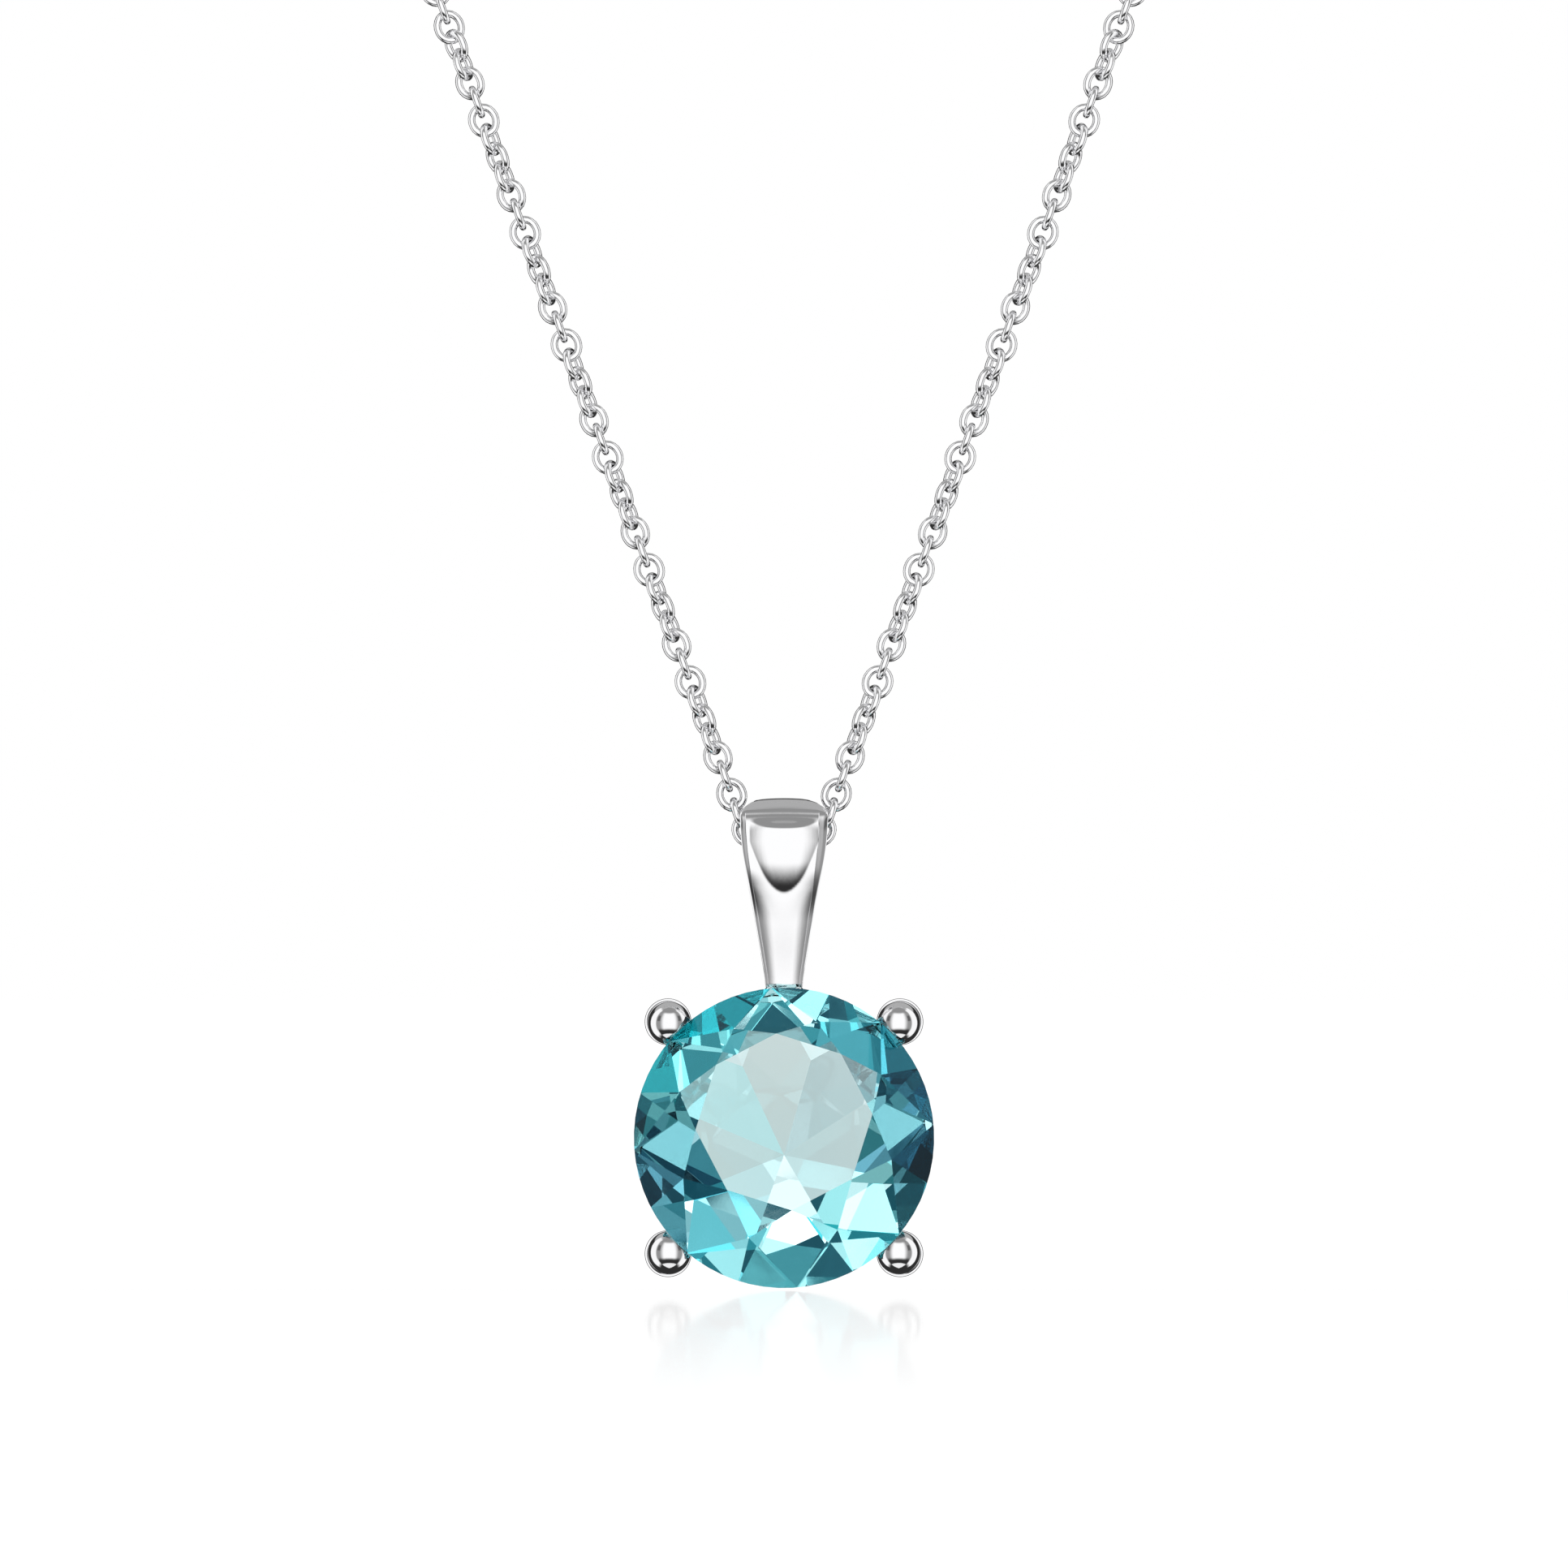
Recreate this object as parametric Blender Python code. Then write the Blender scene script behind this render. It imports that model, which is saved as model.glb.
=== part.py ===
"""Pendant necklace: a round brilliant in a four-prong basket, on a tapered bail and a fine cable chain.

The origin is where the back of the loop rests on the wearer's nape. +X is to the right as seen from the
front, +Y runs from the pendant back to the nape, and +Z is up. The necklace hangs as it is worn.
"""

import math

import bmesh
import bpy
import numpy as np
from mathutils import Matrix, Vector
from mathutils.geometry import intersect_plane_plane

MM = 0.001
GAP = 0.03 * MM  # clearance between fitted pieces

# Stone
STONE_RADIUS = 5.0 * MM
GIRDLE_THICKNESS = 0.26 * MM
CROWN_HEIGHT = 1.55 * MM
TABLE_RADIUS = 2.95 * MM  # to the table's corners
TABLE_RISE = 0.55 * MM  # the table is cut a little above the stone's axis
CULET_DROP = 0.60 * MM  # and the culet a little below it
PAVILION_DEPTH = 3.85 * MM
STAR_ANGLE = math.radians(20)
LOWER_HALF_REACH = 0.45
STONE_TURN = math.radians(95)  # the direction of the first main facet
GIRDLE_SIDES = 64

# Basket
PRONG_RADIUS = 5.40 * MM  # from the stone's axis to each ball
BALL_RADIUS = 0.77 * MM
BALL_Y = 0.10 * MM
SHAFT_FRONT_RADIUS = 0.56 * MM
SHAFT_BACK_RADIUS = 0.40 * MM
BASKET_DEPTH = 4.40 * MM
PRONG_BACK_RADIUS = 3.35 * MM
GALLERY_RADIUS = 4.20 * MM
GALLERY_WIRE = 0.32 * MM
GALLERY_Y = 1.36 * MM
BASE_INNER = 2.35 * MM
BASE_OUTER = 3.10 * MM
BASE_THICKNESS = 0.60 * MM

# Loop between the basket and the bail. It leans forward, and its top wire is the basket's pivot.
LOOP_RADIUS = 0.56 * MM
LOOP_WIRE = 0.20 * MM
LOOP_FOOT = 0.08 * MM
LOOP_LEAN = math.radians(40)
PIVOT_HEIGHT = 5.05 * MM  # above the stone's centre
PIVOT_Y = 0.85 * MM  # behind the stone's girdle, over the centre of mass

# Chain
LINK_WIRE = 0.22 * MM
LINK_WIDTH = 1.04 * MM
LINK_LENGTH = 1.17 * MM
LINK_PITCH = 0.662 * MM
LINKS_AT_BAIL = 6  # full links on each side of the middle one
BAIL_TWISTS = (0, 90, 10, 100)  # degrees about the chain's line, for the links inside the bail
LINK_TWISTS = (0, 90, 27, 120, 50, 113)  # and for those beyond, repeated
CHAIN_RADIUS = 0.5 * LINK_WIDTH
V_HALF_ANGLE = math.radians(20.2)
RUN_HEIGHT = 9.80 * MM  # the chain's lowest run, above the stone's centre
RUN_HALF = 0.306 * MM
RUN_FILLET = 1.2 * MM
LEG_LENGTH = 91.5 * MM
NECK_DEPTH = 84.0 * MM  # from the nape to the hanging plane
SHOULDER_DROP = 58.0 * MM  # from the nape down to the top of the straight legs
LEG_PULL = 30.0 * MM  # handles of the curve round the neck
NAPE_PULL = 50.0 * MM
POINT_SPACING = 2.6 * MM
DROP_JOINTS = (46.5 * LINK_PITCH, 91.5 * LINK_PITCH, 137.5 * LINK_PITCH)  # each where two links touch
NECK_SECTIONS = ("shoulder", "side", "nape")

# Spring-ring clasp, in the plane of X and Z round the origin
CLASP_RADIUS = 2.20 * MM
CLASP_TUBE = 0.55 * MM
CLASP_BORE = 0.34 * MM
BOLT_WIRE = 0.28 * MM
GAP_FROM = 18  # degrees from +X towards +Z
GAP_TO = 62
BOLT_TO = 150
BOLT_OPENS = 46
KNOB_AT = 98
KNOB_STEM = 0.15 * MM
SLOT_RADIUS = 0.25 * MM
SLOT_OUT = 2.66 * MM
KNOB_RADIUS = 0.30 * MM
KNOB_OUT = 3.09 * MM
SPRING_FROM = 153
SPRING_TO = 250
SPRING_TURNS = 9
SPRING_RADIUS = 0.20 * MM
SPRING_WIRE = 0.05 * MM
EYE_RADIUS = 0.55 * MM
RING_WIRE = 0.20 * MM
JUMP_RADIUS = 0.80 * MM
END_RING_RADIUS = 1.38 * MM
END_RING_WIRE = 0.25 * MM
END_JUMP_RADIUS = 0.70 * MM

# The clasp's rings along X, each hooked in the one before
CHAIN_END_X = 5.15 * MM
EYE_X = -(CLASP_RADIUS + CLASP_TUBE + GAP + EYE_RADIUS + RING_WIRE)
JUMP_X = EYE_X + 0.10 * MM - JUMP_RADIUS
END_JUMP_X = CHAIN_END_X - 0.5 * LINK_LENGTH + LINK_WIRE + RING_WIRE + GAP - END_JUMP_RADIUS
END_RING_X = END_JUMP_X - END_JUMP_RADIUS + RING_WIRE + END_RING_WIRE + GAP - END_RING_RADIUS

MODEL = "pendant_necklace"
CUTTERS = "cutters"


def clear_scene():
    for obj in list(bpy.data.objects):
        bpy.data.objects.remove(obj, do_unlink=True)


def collection(name):
    made = bpy.data.collections.new(name)
    bpy.context.scene.collection.children.link(made)
    return made


def material(name, color, metallic, roughness):
    made = bpy.data.materials.new(name)
    made.use_nodes = True
    shader = made.node_tree.nodes["Principled BSDF"]
    shader.inputs["Base Color"].default_value = (*color, 1.0)
    shader.inputs["Metallic"].default_value = metallic
    shader.inputs["Roughness"].default_value = roughness
    return made


def add(name, data, mat, group=MODEL):
    """Makes an object of this mesh or curve in a collection."""
    obj = bpy.data.objects.new(name, data)
    if mat is not None:
        data.materials.append(mat)
    bpy.data.collections[group].objects.link(obj)
    return obj


def add_bmesh(name, bm, mat, group=MODEL):
    """Makes an object of a bmesh, smooth but for its sharp edges."""
    bmesh.ops.recalc_face_normals(bm, faces=bm.faces)
    mesh = bpy.data.meshes.new(name)
    bm.to_mesh(mesh)
    bm.free()
    mesh.shade_smooth()
    mesh.set_sharp_from_angle(angle=math.radians(35))
    return add(name, mesh, mat, group)


def add_cutter(name, bm):
    cutter = add_bmesh(name, bm, None, CUTTERS)
    cutter.hide_render = True
    cutter.display_type = "WIRE"
    return cutter


def wire(name, points, radius, mat, cyclic=False, sides=2, radii=None, group=MODEL):
    """A round wire along points, as a curve with filled caps."""
    curve = bpy.data.curves.new(name, "CURVE")
    curve.dimensions = "3D"
    curve.bevel_depth = radius
    curve.bevel_resolution = sides
    curve.use_fill_caps = not cyclic
    spline = curve.splines.new("POLY")
    spline.points.add(len(points) - 1)
    for index, point in enumerate(points):
        spline.points[index].co = (*point, 1.0)
        spline.points[index].radius = 1.0 if radii is None else radii[index] / radius
    spline.use_cyclic_u = cyclic
    spline.use_smooth = True
    return add(name, curve, mat, group)


def as_bmesh(obj):
    """Takes a curve object away and gives its welded surface."""
    bpy.context.view_layer.update()
    graph = bpy.context.evaluated_depsgraph_get()
    mesh = bpy.data.meshes.new_from_object(obj.evaluated_get(graph))
    bm = bmesh.new()
    bm.from_mesh(mesh)
    bmesh.ops.transform(bm, matrix=obj.matrix_world, verts=bm.verts)
    bmesh.ops.remove_doubles(bm, verts=bm.verts, dist=1e-7)
    bpy.data.meshes.remove(mesh)
    bpy.data.objects.remove(obj, do_unlink=True)
    return bm


def combine(obj, cutter, operation):
    modifier = obj.modifiers.new(f"{operation.lower()}_{cutter.name}", "BOOLEAN")
    modifier.operation = operation
    modifier.solver = "EXACT"
    modifier.object = cutter


# ---------------------------------------------------------------- the chain's line


def route_half():
    """Points along the right half of the chain's centre line, from its lowest point, close together."""
    lowest = -SHOULDER_DROP - RUN_FILLET * (1 - math.sin(V_HALF_ANGLE)) - LEG_LENGTH * math.cos(V_HALF_ANGLE)
    rise = Vector((math.sin(V_HALF_ANGLE), 0, math.cos(V_HALF_ANGLE)))
    points = [Vector((0, -NECK_DEPTH, lowest))]
    turn = math.pi / 2 - V_HALF_ANGLE
    for step in range(25):
        angle = turn * step / 24
        across = RUN_HALF + RUN_FILLET * math.sin(angle)
        points.append(Vector((across, -NECK_DEPTH, lowest + RUN_FILLET * (1 - math.cos(angle)))))
    top = points[-1] + LEG_LENGTH * rise
    nape = Vector((CHAIN_END_X, 0, 0))
    first = top + LEG_PULL * rise
    second = nape + Vector((NAPE_PULL, 0, 0))
    for step in range(401):
        t = step / 400
        curve = (1 - t) ** 3 * top + 3 * t * (1 - t) ** 2 * first + 3 * t * t * (1 - t) * second + t**3 * nape
        points.append(curve)
    return np.array(points)


ROUTE = route_half()
ALONG = np.concatenate([[0.0], np.cumsum(np.linalg.norm(np.diff(ROUTE, axis=0), axis=1))])
LOWEST_Z = float(ROUTE[0][2])
STONE_CENTRE = Vector((0, -NECK_DEPTH - PIVOT_Y, LOWEST_Z - RUN_HEIGHT))


def on_chain(distance, side):
    """The point at this distance along the chain from its lowest point. side is 1 for right, -1 for left."""
    x, y, z = (float(np.interp(distance, ALONG, ROUTE[:, axis])) for axis in range(3))
    return Vector((side * x, y, z))


def chain_frame(distance, side):
    """The chain's direction there, and the two directions across it."""
    ahead = on_chain(distance + 0.1 * MM, side)
    behind = on_chain(distance - 0.1 * MM, side) if distance > 0.1 * MM else on_chain(0.1 * MM, -side)
    along = (ahead - behind).normalized()
    across = along.cross(Vector((0, -1, 0))).normalized()
    return along, across, along.cross(across)


def drop_edges(joints):
    """Start and end of each straight section, with room at each joint for the sections to tilt."""
    room = 0.5 * LINK_PITCH
    starts = [(LINKS_AT_BAIL + 1) * LINK_PITCH] + [joint + room for joint in joints]
    return list(zip(starts, [joint - room for joint in joints] + [None]))


# ---------------------------------------------------------------- stone


def plane_of(a, b, c, inside):
    """Point and outward normal of the plane through three points."""
    normal = (b - a).cross(c - a).normalized()
    return a, normal if normal.dot(inside - a) < 0 else -normal


def meet(first, second, third):
    """The point where three planes meet."""
    line, way = intersect_plane_plane(*first, *second)
    point, normal = third
    return line + way * ((point - line).dot(normal) / way.dot(normal))


def facet_planes():
    """Planes of a round brilliant whose front looks along -Y, round the stone's centre."""
    front = -0.5 * GIRDLE_THICKNESS
    table_y = front - CROWN_HEIGHT
    culet = Vector((0, -front + PAVILION_DEPTH, -CULET_DROP))
    middle = Vector((0, 0, 0))

    def around(angle, radius, y, rise=0.0):
        return Vector((radius * math.cos(angle), y, radius * math.sin(angle) + rise))

    step = math.radians(45)
    tangents = [Vector((-math.sin(STONE_TURN + i * step), 0, math.cos(STONE_TURN + i * step))) for i in range(8)]
    mains, lower_mains, stars = [], [], []
    for i in range(8):
        angle = STONE_TURN + i * step
        rim = around(angle, STONE_RADIUS, front)
        corner = around(angle, TABLE_RADIUS, table_y, TABLE_RISE)
        mains.append(plane_of(rim, corner, rim + tangents[i], middle))
        back = around(angle, STONE_RADIUS, -front)
        lower_mains.append(plane_of(back, culet, back + tangents[i], middle))
        after = around(angle + step, TABLE_RADIUS, table_y, TABLE_RISE)
        half = angle + 0.5 * step
        down = around(half, math.cos(STAR_ANGLE), math.sin(STAR_ANGLE))
        stars.append(plane_of(corner, after, 0.5 * (corner + after) + down * MM, middle))
    planes = [(Vector((0, table_y, 0)), Vector((0, -1, 0))), *mains, *lower_mains, *stars]
    for i in range(8):
        angle = STONE_TURN + i * step
        half = angle + 0.5 * step
        tip = meet(mains[i], mains[(i + 1) % 8], stars[i])
        ridge = meet(lower_mains[i], lower_mains[(i + 1) % 8], (Vector((0, -front, 0)), Vector((0, 1, 0))))
        low = ridge.lerp(culet, LOWER_HALF_REACH)
        for side in (angle, angle + step):
            planes.append(
                plane_of(tip, around(half, STONE_RADIUS, front), around(side, STONE_RADIUS, front), middle)
            )
            planes.append(
                plane_of(low, around(half, STONE_RADIUS, -front), around(side, STONE_RADIUS, -front), middle)
            )
    return planes


def make_stone(mat):
    """The rough is a cylinder, and each facet is one plane that cuts it, as on a lapidary's wheel."""
    bm = bmesh.new()
    rough = 3 * STONE_RADIUS
    bmesh.ops.create_cone(
        bm, cap_ends=True, segments=GIRDLE_SIDES, radius1=STONE_RADIUS, radius2=STONE_RADIUS, depth=rough
    )
    bmesh.ops.rotate(bm, cent=(0, 0, 0), matrix=Matrix.Rotation(math.pi / 2, 3, "X"), verts=bm.verts)
    bmesh.ops.rotate(
        bm, cent=(0, 0, 0), matrix=Matrix.Rotation(STONE_TURN + math.pi / GIRDLE_SIDES, 3, "Y"), verts=bm.verts
    )
    for point, normal in facet_planes():
        whole = [*bm.verts, *bm.edges, *bm.faces]
        cut = bmesh.ops.bisect_plane(
            bm, geom=whole, dist=1e-8, plane_co=point, plane_no=normal, clear_outer=True
        )
        rim = [part for part in cut["geom_cut"] if isinstance(part, bmesh.types.BMEdge)]
        if len(rim) > 2:
            bmesh.ops.edgenet_fill(bm, edges=rim)
    bmesh.ops.remove_doubles(bm, verts=bm.verts, dist=2e-6)
    bmesh.ops.translate(bm, vec=STONE_CENTRE, verts=bm.verts)
    stone = add_bmesh("gem", bm, mat)
    stone.data.shade_flat()
    return stone


def make_seat():
    """The space kept clear for the stone: its cylinder and the cone behind it."""
    profile = (
        (STONE_RADIUS + GAP, -2.5 * MM),
        (STONE_RADIUS + GAP, 0.5 * GIRDLE_THICKNESS + GAP),
        (0.0, 0.5 * GIRDLE_THICKNESS + PAVILION_DEPTH + 2 * GAP),
    )
    bm = bmesh.new()
    verts = [bm.verts.new((radius, y, 0)) for radius, y in ((0.0, profile[0][1]), *profile)]
    edges = [bm.edges.new(pair) for pair in zip(verts, verts[1:])]
    bmesh.ops.spin(
        bm, geom=[*verts, *edges], cent=(0, 0, 0), axis=(0, 1, 0), angle=2 * math.pi, steps=96, use_merge=True
    )
    bmesh.ops.remove_doubles(bm, verts=bm.verts, dist=1e-7)
    bmesh.ops.translate(bm, vec=STONE_CENTRE, verts=bm.verts)
    return add_cutter("seat", bm)


# ---------------------------------------------------------------- basket


def prong_line(angle):
    """Centre of a prong's ball and of its back end, from the stone's centre."""
    out = Vector((math.cos(angle), 0, math.sin(angle)))
    ball = STONE_CENTRE + PRONG_RADIUS * out + Vector((0, BALL_Y, 0))
    back = STONE_CENTRE + PRONG_BACK_RADIUS * out + Vector((0, BASKET_DEPTH, 0))
    return ball, back


def prong_shaft(name, angle, grow, group, mat):
    """A prong's tapered shaft, or with grow the space kept clear for it."""
    ball, back = prong_line(angle)
    if grow:
        back = back + (back - ball) * 0.1
    points = [ball.lerp(back, step / 4) for step in range(5)]
    radii = [SHAFT_FRONT_RADIUS + (SHAFT_BACK_RADIUS - SHAFT_FRONT_RADIUS) * step / 4 + grow for step in range(5)]
    return wire(name, points, SHAFT_FRONT_RADIUS, mat, sides=3, radii=radii, group=group)


def make_prongs(mat, seat):
    """Four prongs, and the cutters that notch the rails round them."""
    notches = []
    for name, degrees in (("upper_right", 45), ("upper_left", 135), ("lower_left", 225), ("lower_right", 315)):
        angle = math.radians(degrees)
        prong = add_bmesh(f"prong_{name}", as_bmesh(prong_shaft("shaft", angle, 0, CUTTERS, None)), mat)
        bm = bmesh.new()
        bmesh.ops.create_uvsphere(bm, u_segments=20, v_segments=12, radius=BALL_RADIUS)
        bmesh.ops.translate(bm, vec=prong_line(angle)[0], verts=bm.verts)
        ball = add_cutter(f"ball_{name}", bm)
        combine(prong, ball, "UNION")
        combine(prong, seat, "DIFFERENCE")
        trim = bmesh.new()
        bmesh.ops.create_cube(trim, size=4 * MM)
        bmesh.ops.translate(
            trim, vec=prong_line(angle)[1] + Vector((0, 2 * MM, 0)), verts=trim.verts
        )
        combine(prong, add_cutter(f"trim_{name}", trim), "DIFFERENCE")
        notch = as_bmesh(prong_shaft("notch", angle, GAP, CUTTERS, None))
        notches.append(add_cutter(f"notch_{name}", notch))
    return notches


def ring_points(centre, radius, first, second, count, start=0.0, stop=2 * math.pi, closed=True):
    """Points on a circle or an arc in the plane of two directions."""
    angles = [start + (stop - start) * i / (count if closed else count - 1) for i in range(count)]
    return [centre + radius * (math.cos(a) * first + math.sin(a) * second) for a in angles]


X, Y, Z = Vector((1, 0, 0)), Vector((0, 1, 0)), Vector((0, 0, 1))


def make_rails(mat, notches):
    centre = STONE_CENTRE + Vector((0, GALLERY_Y, 0))
    round_wire = wire(
        "gallery_wire", ring_points(centre, GALLERY_RADIUS, X, Z, 48), GALLERY_WIRE, None, cyclic=True
    )
    gallery = add_bmesh("gallery_rail", as_bmesh(round_wire), mat)
    profile = (
        (BASE_INNER, BASKET_DEPTH - BASE_THICKNESS),
        (BASE_INNER, BASKET_DEPTH),
        (BASE_OUTER, BASKET_DEPTH),
        (BASE_OUTER, BASKET_DEPTH - BASE_THICKNESS),
    )
    bm = bmesh.new()
    verts = [bm.verts.new((radius, y, 0)) for radius, y in profile]
    edges = [bm.edges.new(pair) for pair in zip(verts, verts[1:] + verts[:1])]
    bmesh.ops.spin(
        bm, geom=[*verts, *edges], cent=(0, 0, 0), axis=(0, 1, 0), angle=2 * math.pi, steps=48, use_merge=True
    )
    bmesh.ops.remove_doubles(bm, verts=bm.verts, dist=1e-7)
    bmesh.ops.translate(bm, vec=STONE_CENTRE, verts=bm.verts)
    base = add_bmesh("base_rail", bm, mat)
    for notch in notches:
        combine(gallery, notch, "DIFFERENCE")
        combine(base, notch, "DIFFERENCE")


def make_setting_loop(mat):
    """An arch of wire that stands on the gallery rail, with its top wire on the pivot."""
    up = math.cos(LOOP_LEAN) * Z - math.sin(LOOP_LEAN) * Y
    middle = STONE_CENTRE + Vector((0, PIVOT_Y, PIVOT_HEIGHT)) - LOOP_RADIUS * up
    points = ring_points(middle, LOOP_RADIUS, X, up, 13, 0, math.pi, closed=False)
    foot = LOOP_FOOT * up
    points = [points[0] - foot, *points, points[-1] - foot]
    add_bmesh("setting_loop", as_bmesh(wire("loop_wire", points, LOOP_WIRE, None)), mat)


# ---------------------------------------------------------------- bail


# Sections of the strap down the front, round the loop and up the back, in mm: distance behind the chain's
# line, height above the stone's centre, half width, thickness.
BAIL_SECTIONS = (
    (0.00, 11.31, 0.72, 0.66),
    (-0.66, 11.20, 1.05, 0.54),
    (-1.14, 10.85, 1.455, 0.42),
    (-1.36, 10.20, 1.450, 0.38),
    (-1.40, 9.40, 1.365, 0.38),
    (-1.26, 8.30, 1.180, 0.37),
    (-1.02, 7.10, 0.955, 0.36),
    (-0.76, 5.90, 0.745, 0.34),
    (-0.60, 5.20, 0.625, 0.26),
    (-0.46, 4.88, 0.30, 0.20),
    (-0.24, 4.68, 0.24, 0.14),
    (0.00, 4.64, 0.22, 0.14),
    (0.24, 4.69, 0.22, 0.14),
    (0.46, 4.92, 0.24, 0.16),
    (0.60, 5.34, 0.40, 0.24),
    (0.78, 6.40, 0.56, 0.32),
    (1.05, 7.90, 0.62, 0.34),
    (1.24, 9.30, 0.68, 0.35),
    (1.22, 10.30, 0.71, 0.37),
    (0.86, 10.98, 0.72, 0.48),
)
BAIL_DOME = 0.16  # how far the strap's middle stands over its edges, as a share of its half width
BAIL_STEPS = 3


def closed_curve(keys, steps):
    """Points on the closed Catmull-Rom curve through the keys."""
    keys = np.array(keys, float)
    count = len(keys)
    rows = []
    for i in range(count):
        a, b, c, d = (keys[(i + k) % count] for k in (-1, 0, 1, 2))
        for step in range(steps):
            t = step / steps
            rows.append(
                0.5 * (2 * b + (c - a) * t + (2 * a - 5 * b + 4 * c - d) * t * t + (3 * b - a - 3 * c + d) * t**3)
            )
    return np.array(rows)


def make_bail(mat):
    """The strap as a loft: each section is a bar whose outer face is domed."""
    rows = closed_curve(BAIL_SECTIONS, BAIL_STEPS)
    path = rows[:, :2]
    ways = np.roll(path, -1, axis=0) - np.roll(path, 1, axis=0)
    ways /= np.linalg.norm(ways, axis=1)[:, None]
    inward = np.column_stack([-ways[:, 1], ways[:, 0]])
    across = (-1.0, -0.55, 0.0, 0.55, 1.0)
    origin = Vector((0, STONE_CENTRE.y + PIVOT_Y, STONE_CENTRE.z))
    bm = bmesh.new()
    rings = []
    for (y, z, half, thick), (in_y, in_z) in zip(rows, inward):
        ring = []
        for share in across:
            drop = BAIL_DOME * half * share * share
            place = Vector((half * share, y + in_y * drop, z + in_z * drop))
            ring.append(bm.verts.new(origin + place * MM))
        depth = thick + BAIL_DOME * half * 0.35
        for share in (0.94, -0.94):
            place = Vector((half * share, y + in_y * depth, z + in_z * depth))
            ring.append(bm.verts.new(origin + place * MM))
        rings.append(ring)
    for ring, after in zip(rings, rings[1:] + rings[:1]):
        for i in range(len(ring)):
            k = (i + 1) % len(ring)
            bm.faces.new((ring[i], ring[k], after[k], after[i]))
    return add_bmesh("bail", bm, mat)


# ---------------------------------------------------------------- chain


def oval_link(name, index, side, mat):
    """One link of the chain at its place, turned about the chain's line."""
    distance = index * LINK_PITCH
    along, across, normal = chain_frame(distance, side)
    inside = index < len(BAIL_TWISTS)
    degrees = BAIL_TWISTS[index] if inside else LINK_TWISTS[(index - len(BAIL_TWISTS)) % len(LINK_TWISTS)]
    twist = math.radians(degrees) * side
    wide = math.cos(twist) * across + math.sin(twist) * normal
    half_length = 0.5 * (LINK_LENGTH - LINK_WIRE)
    half_width = 0.5 * (LINK_WIDTH - LINK_WIRE)
    centre = on_chain(distance, side)
    angles = [2 * math.pi * i / 16 for i in range(16)]
    points = [centre + half_length * math.cos(a) * along + half_width * math.sin(a) * wide for a in angles]
    return wire(name, points, 0.5 * LINK_WIRE, mat, cyclic=True, sides=1)


def make_chain(mat):
    """Full links at the bail, and a rod of the chain's width for each longer section."""
    oval_link("chain_link_middle", 0, 1, mat)
    end = float(ALONG[-1])
    edges = drop_edges(DROP_JOINTS)
    neck_start = edges[-1][0]
    neck_step = (end - neck_start) / len(NECK_SECTIONS)
    spans = {name: span for name, span in zip(("lower", "middle", "upper"), edges)}
    for i, name in enumerate(NECK_SECTIONS):
        start = neck_start + i * neck_step
        spans[name] = (start, start + neck_step - (GAP if i < len(NECK_SECTIONS) - 1 else LINK_PITCH))
    for side, hand in ((1, "right"), (-1, "left")):
        for index in range(1, LINKS_AT_BAIL + 1):
            oval_link(f"chain_link_{hand}_{index}", index, side, mat)
        for name, (start, stop) in spans.items():
            count = math.ceil((stop - start) / POINT_SPACING) + 1
            points = [on_chain(start + (stop - start) * i / (count - 1), side) for i in range(count)]
            wire(f"chain_{name}_{hand}", points, CHAIN_RADIUS, mat)
        oval_link_at_end(f"chain_link_end_{hand}", side, mat)


def oval_link_at_end(name, side, mat):
    """The last link, hooked in its jump ring. It lies across the ring's plane."""
    centre = Vector((side * CHAIN_END_X, 0, 0))
    wide = Y if side > 0 else Z
    half_length = 0.5 * (LINK_LENGTH - LINK_WIRE)
    half_width = 0.5 * (LINK_WIDTH - LINK_WIRE)
    angles = [2 * math.pi * i / 16 for i in range(16)]
    points = [centre + half_length * math.cos(a) * X + half_width * math.sin(a) * wide for a in angles]
    return wire(name, points, 0.5 * LINK_WIRE, mat, cyclic=True, sides=1)


# ---------------------------------------------------------------- clasp


def clasp_arc(start, stop, count, radius=CLASP_RADIUS):
    return ring_points(
        Vector((0, 0, 0)), radius, X, Z, count, math.radians(start), math.radians(stop), closed=False
    )


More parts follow.
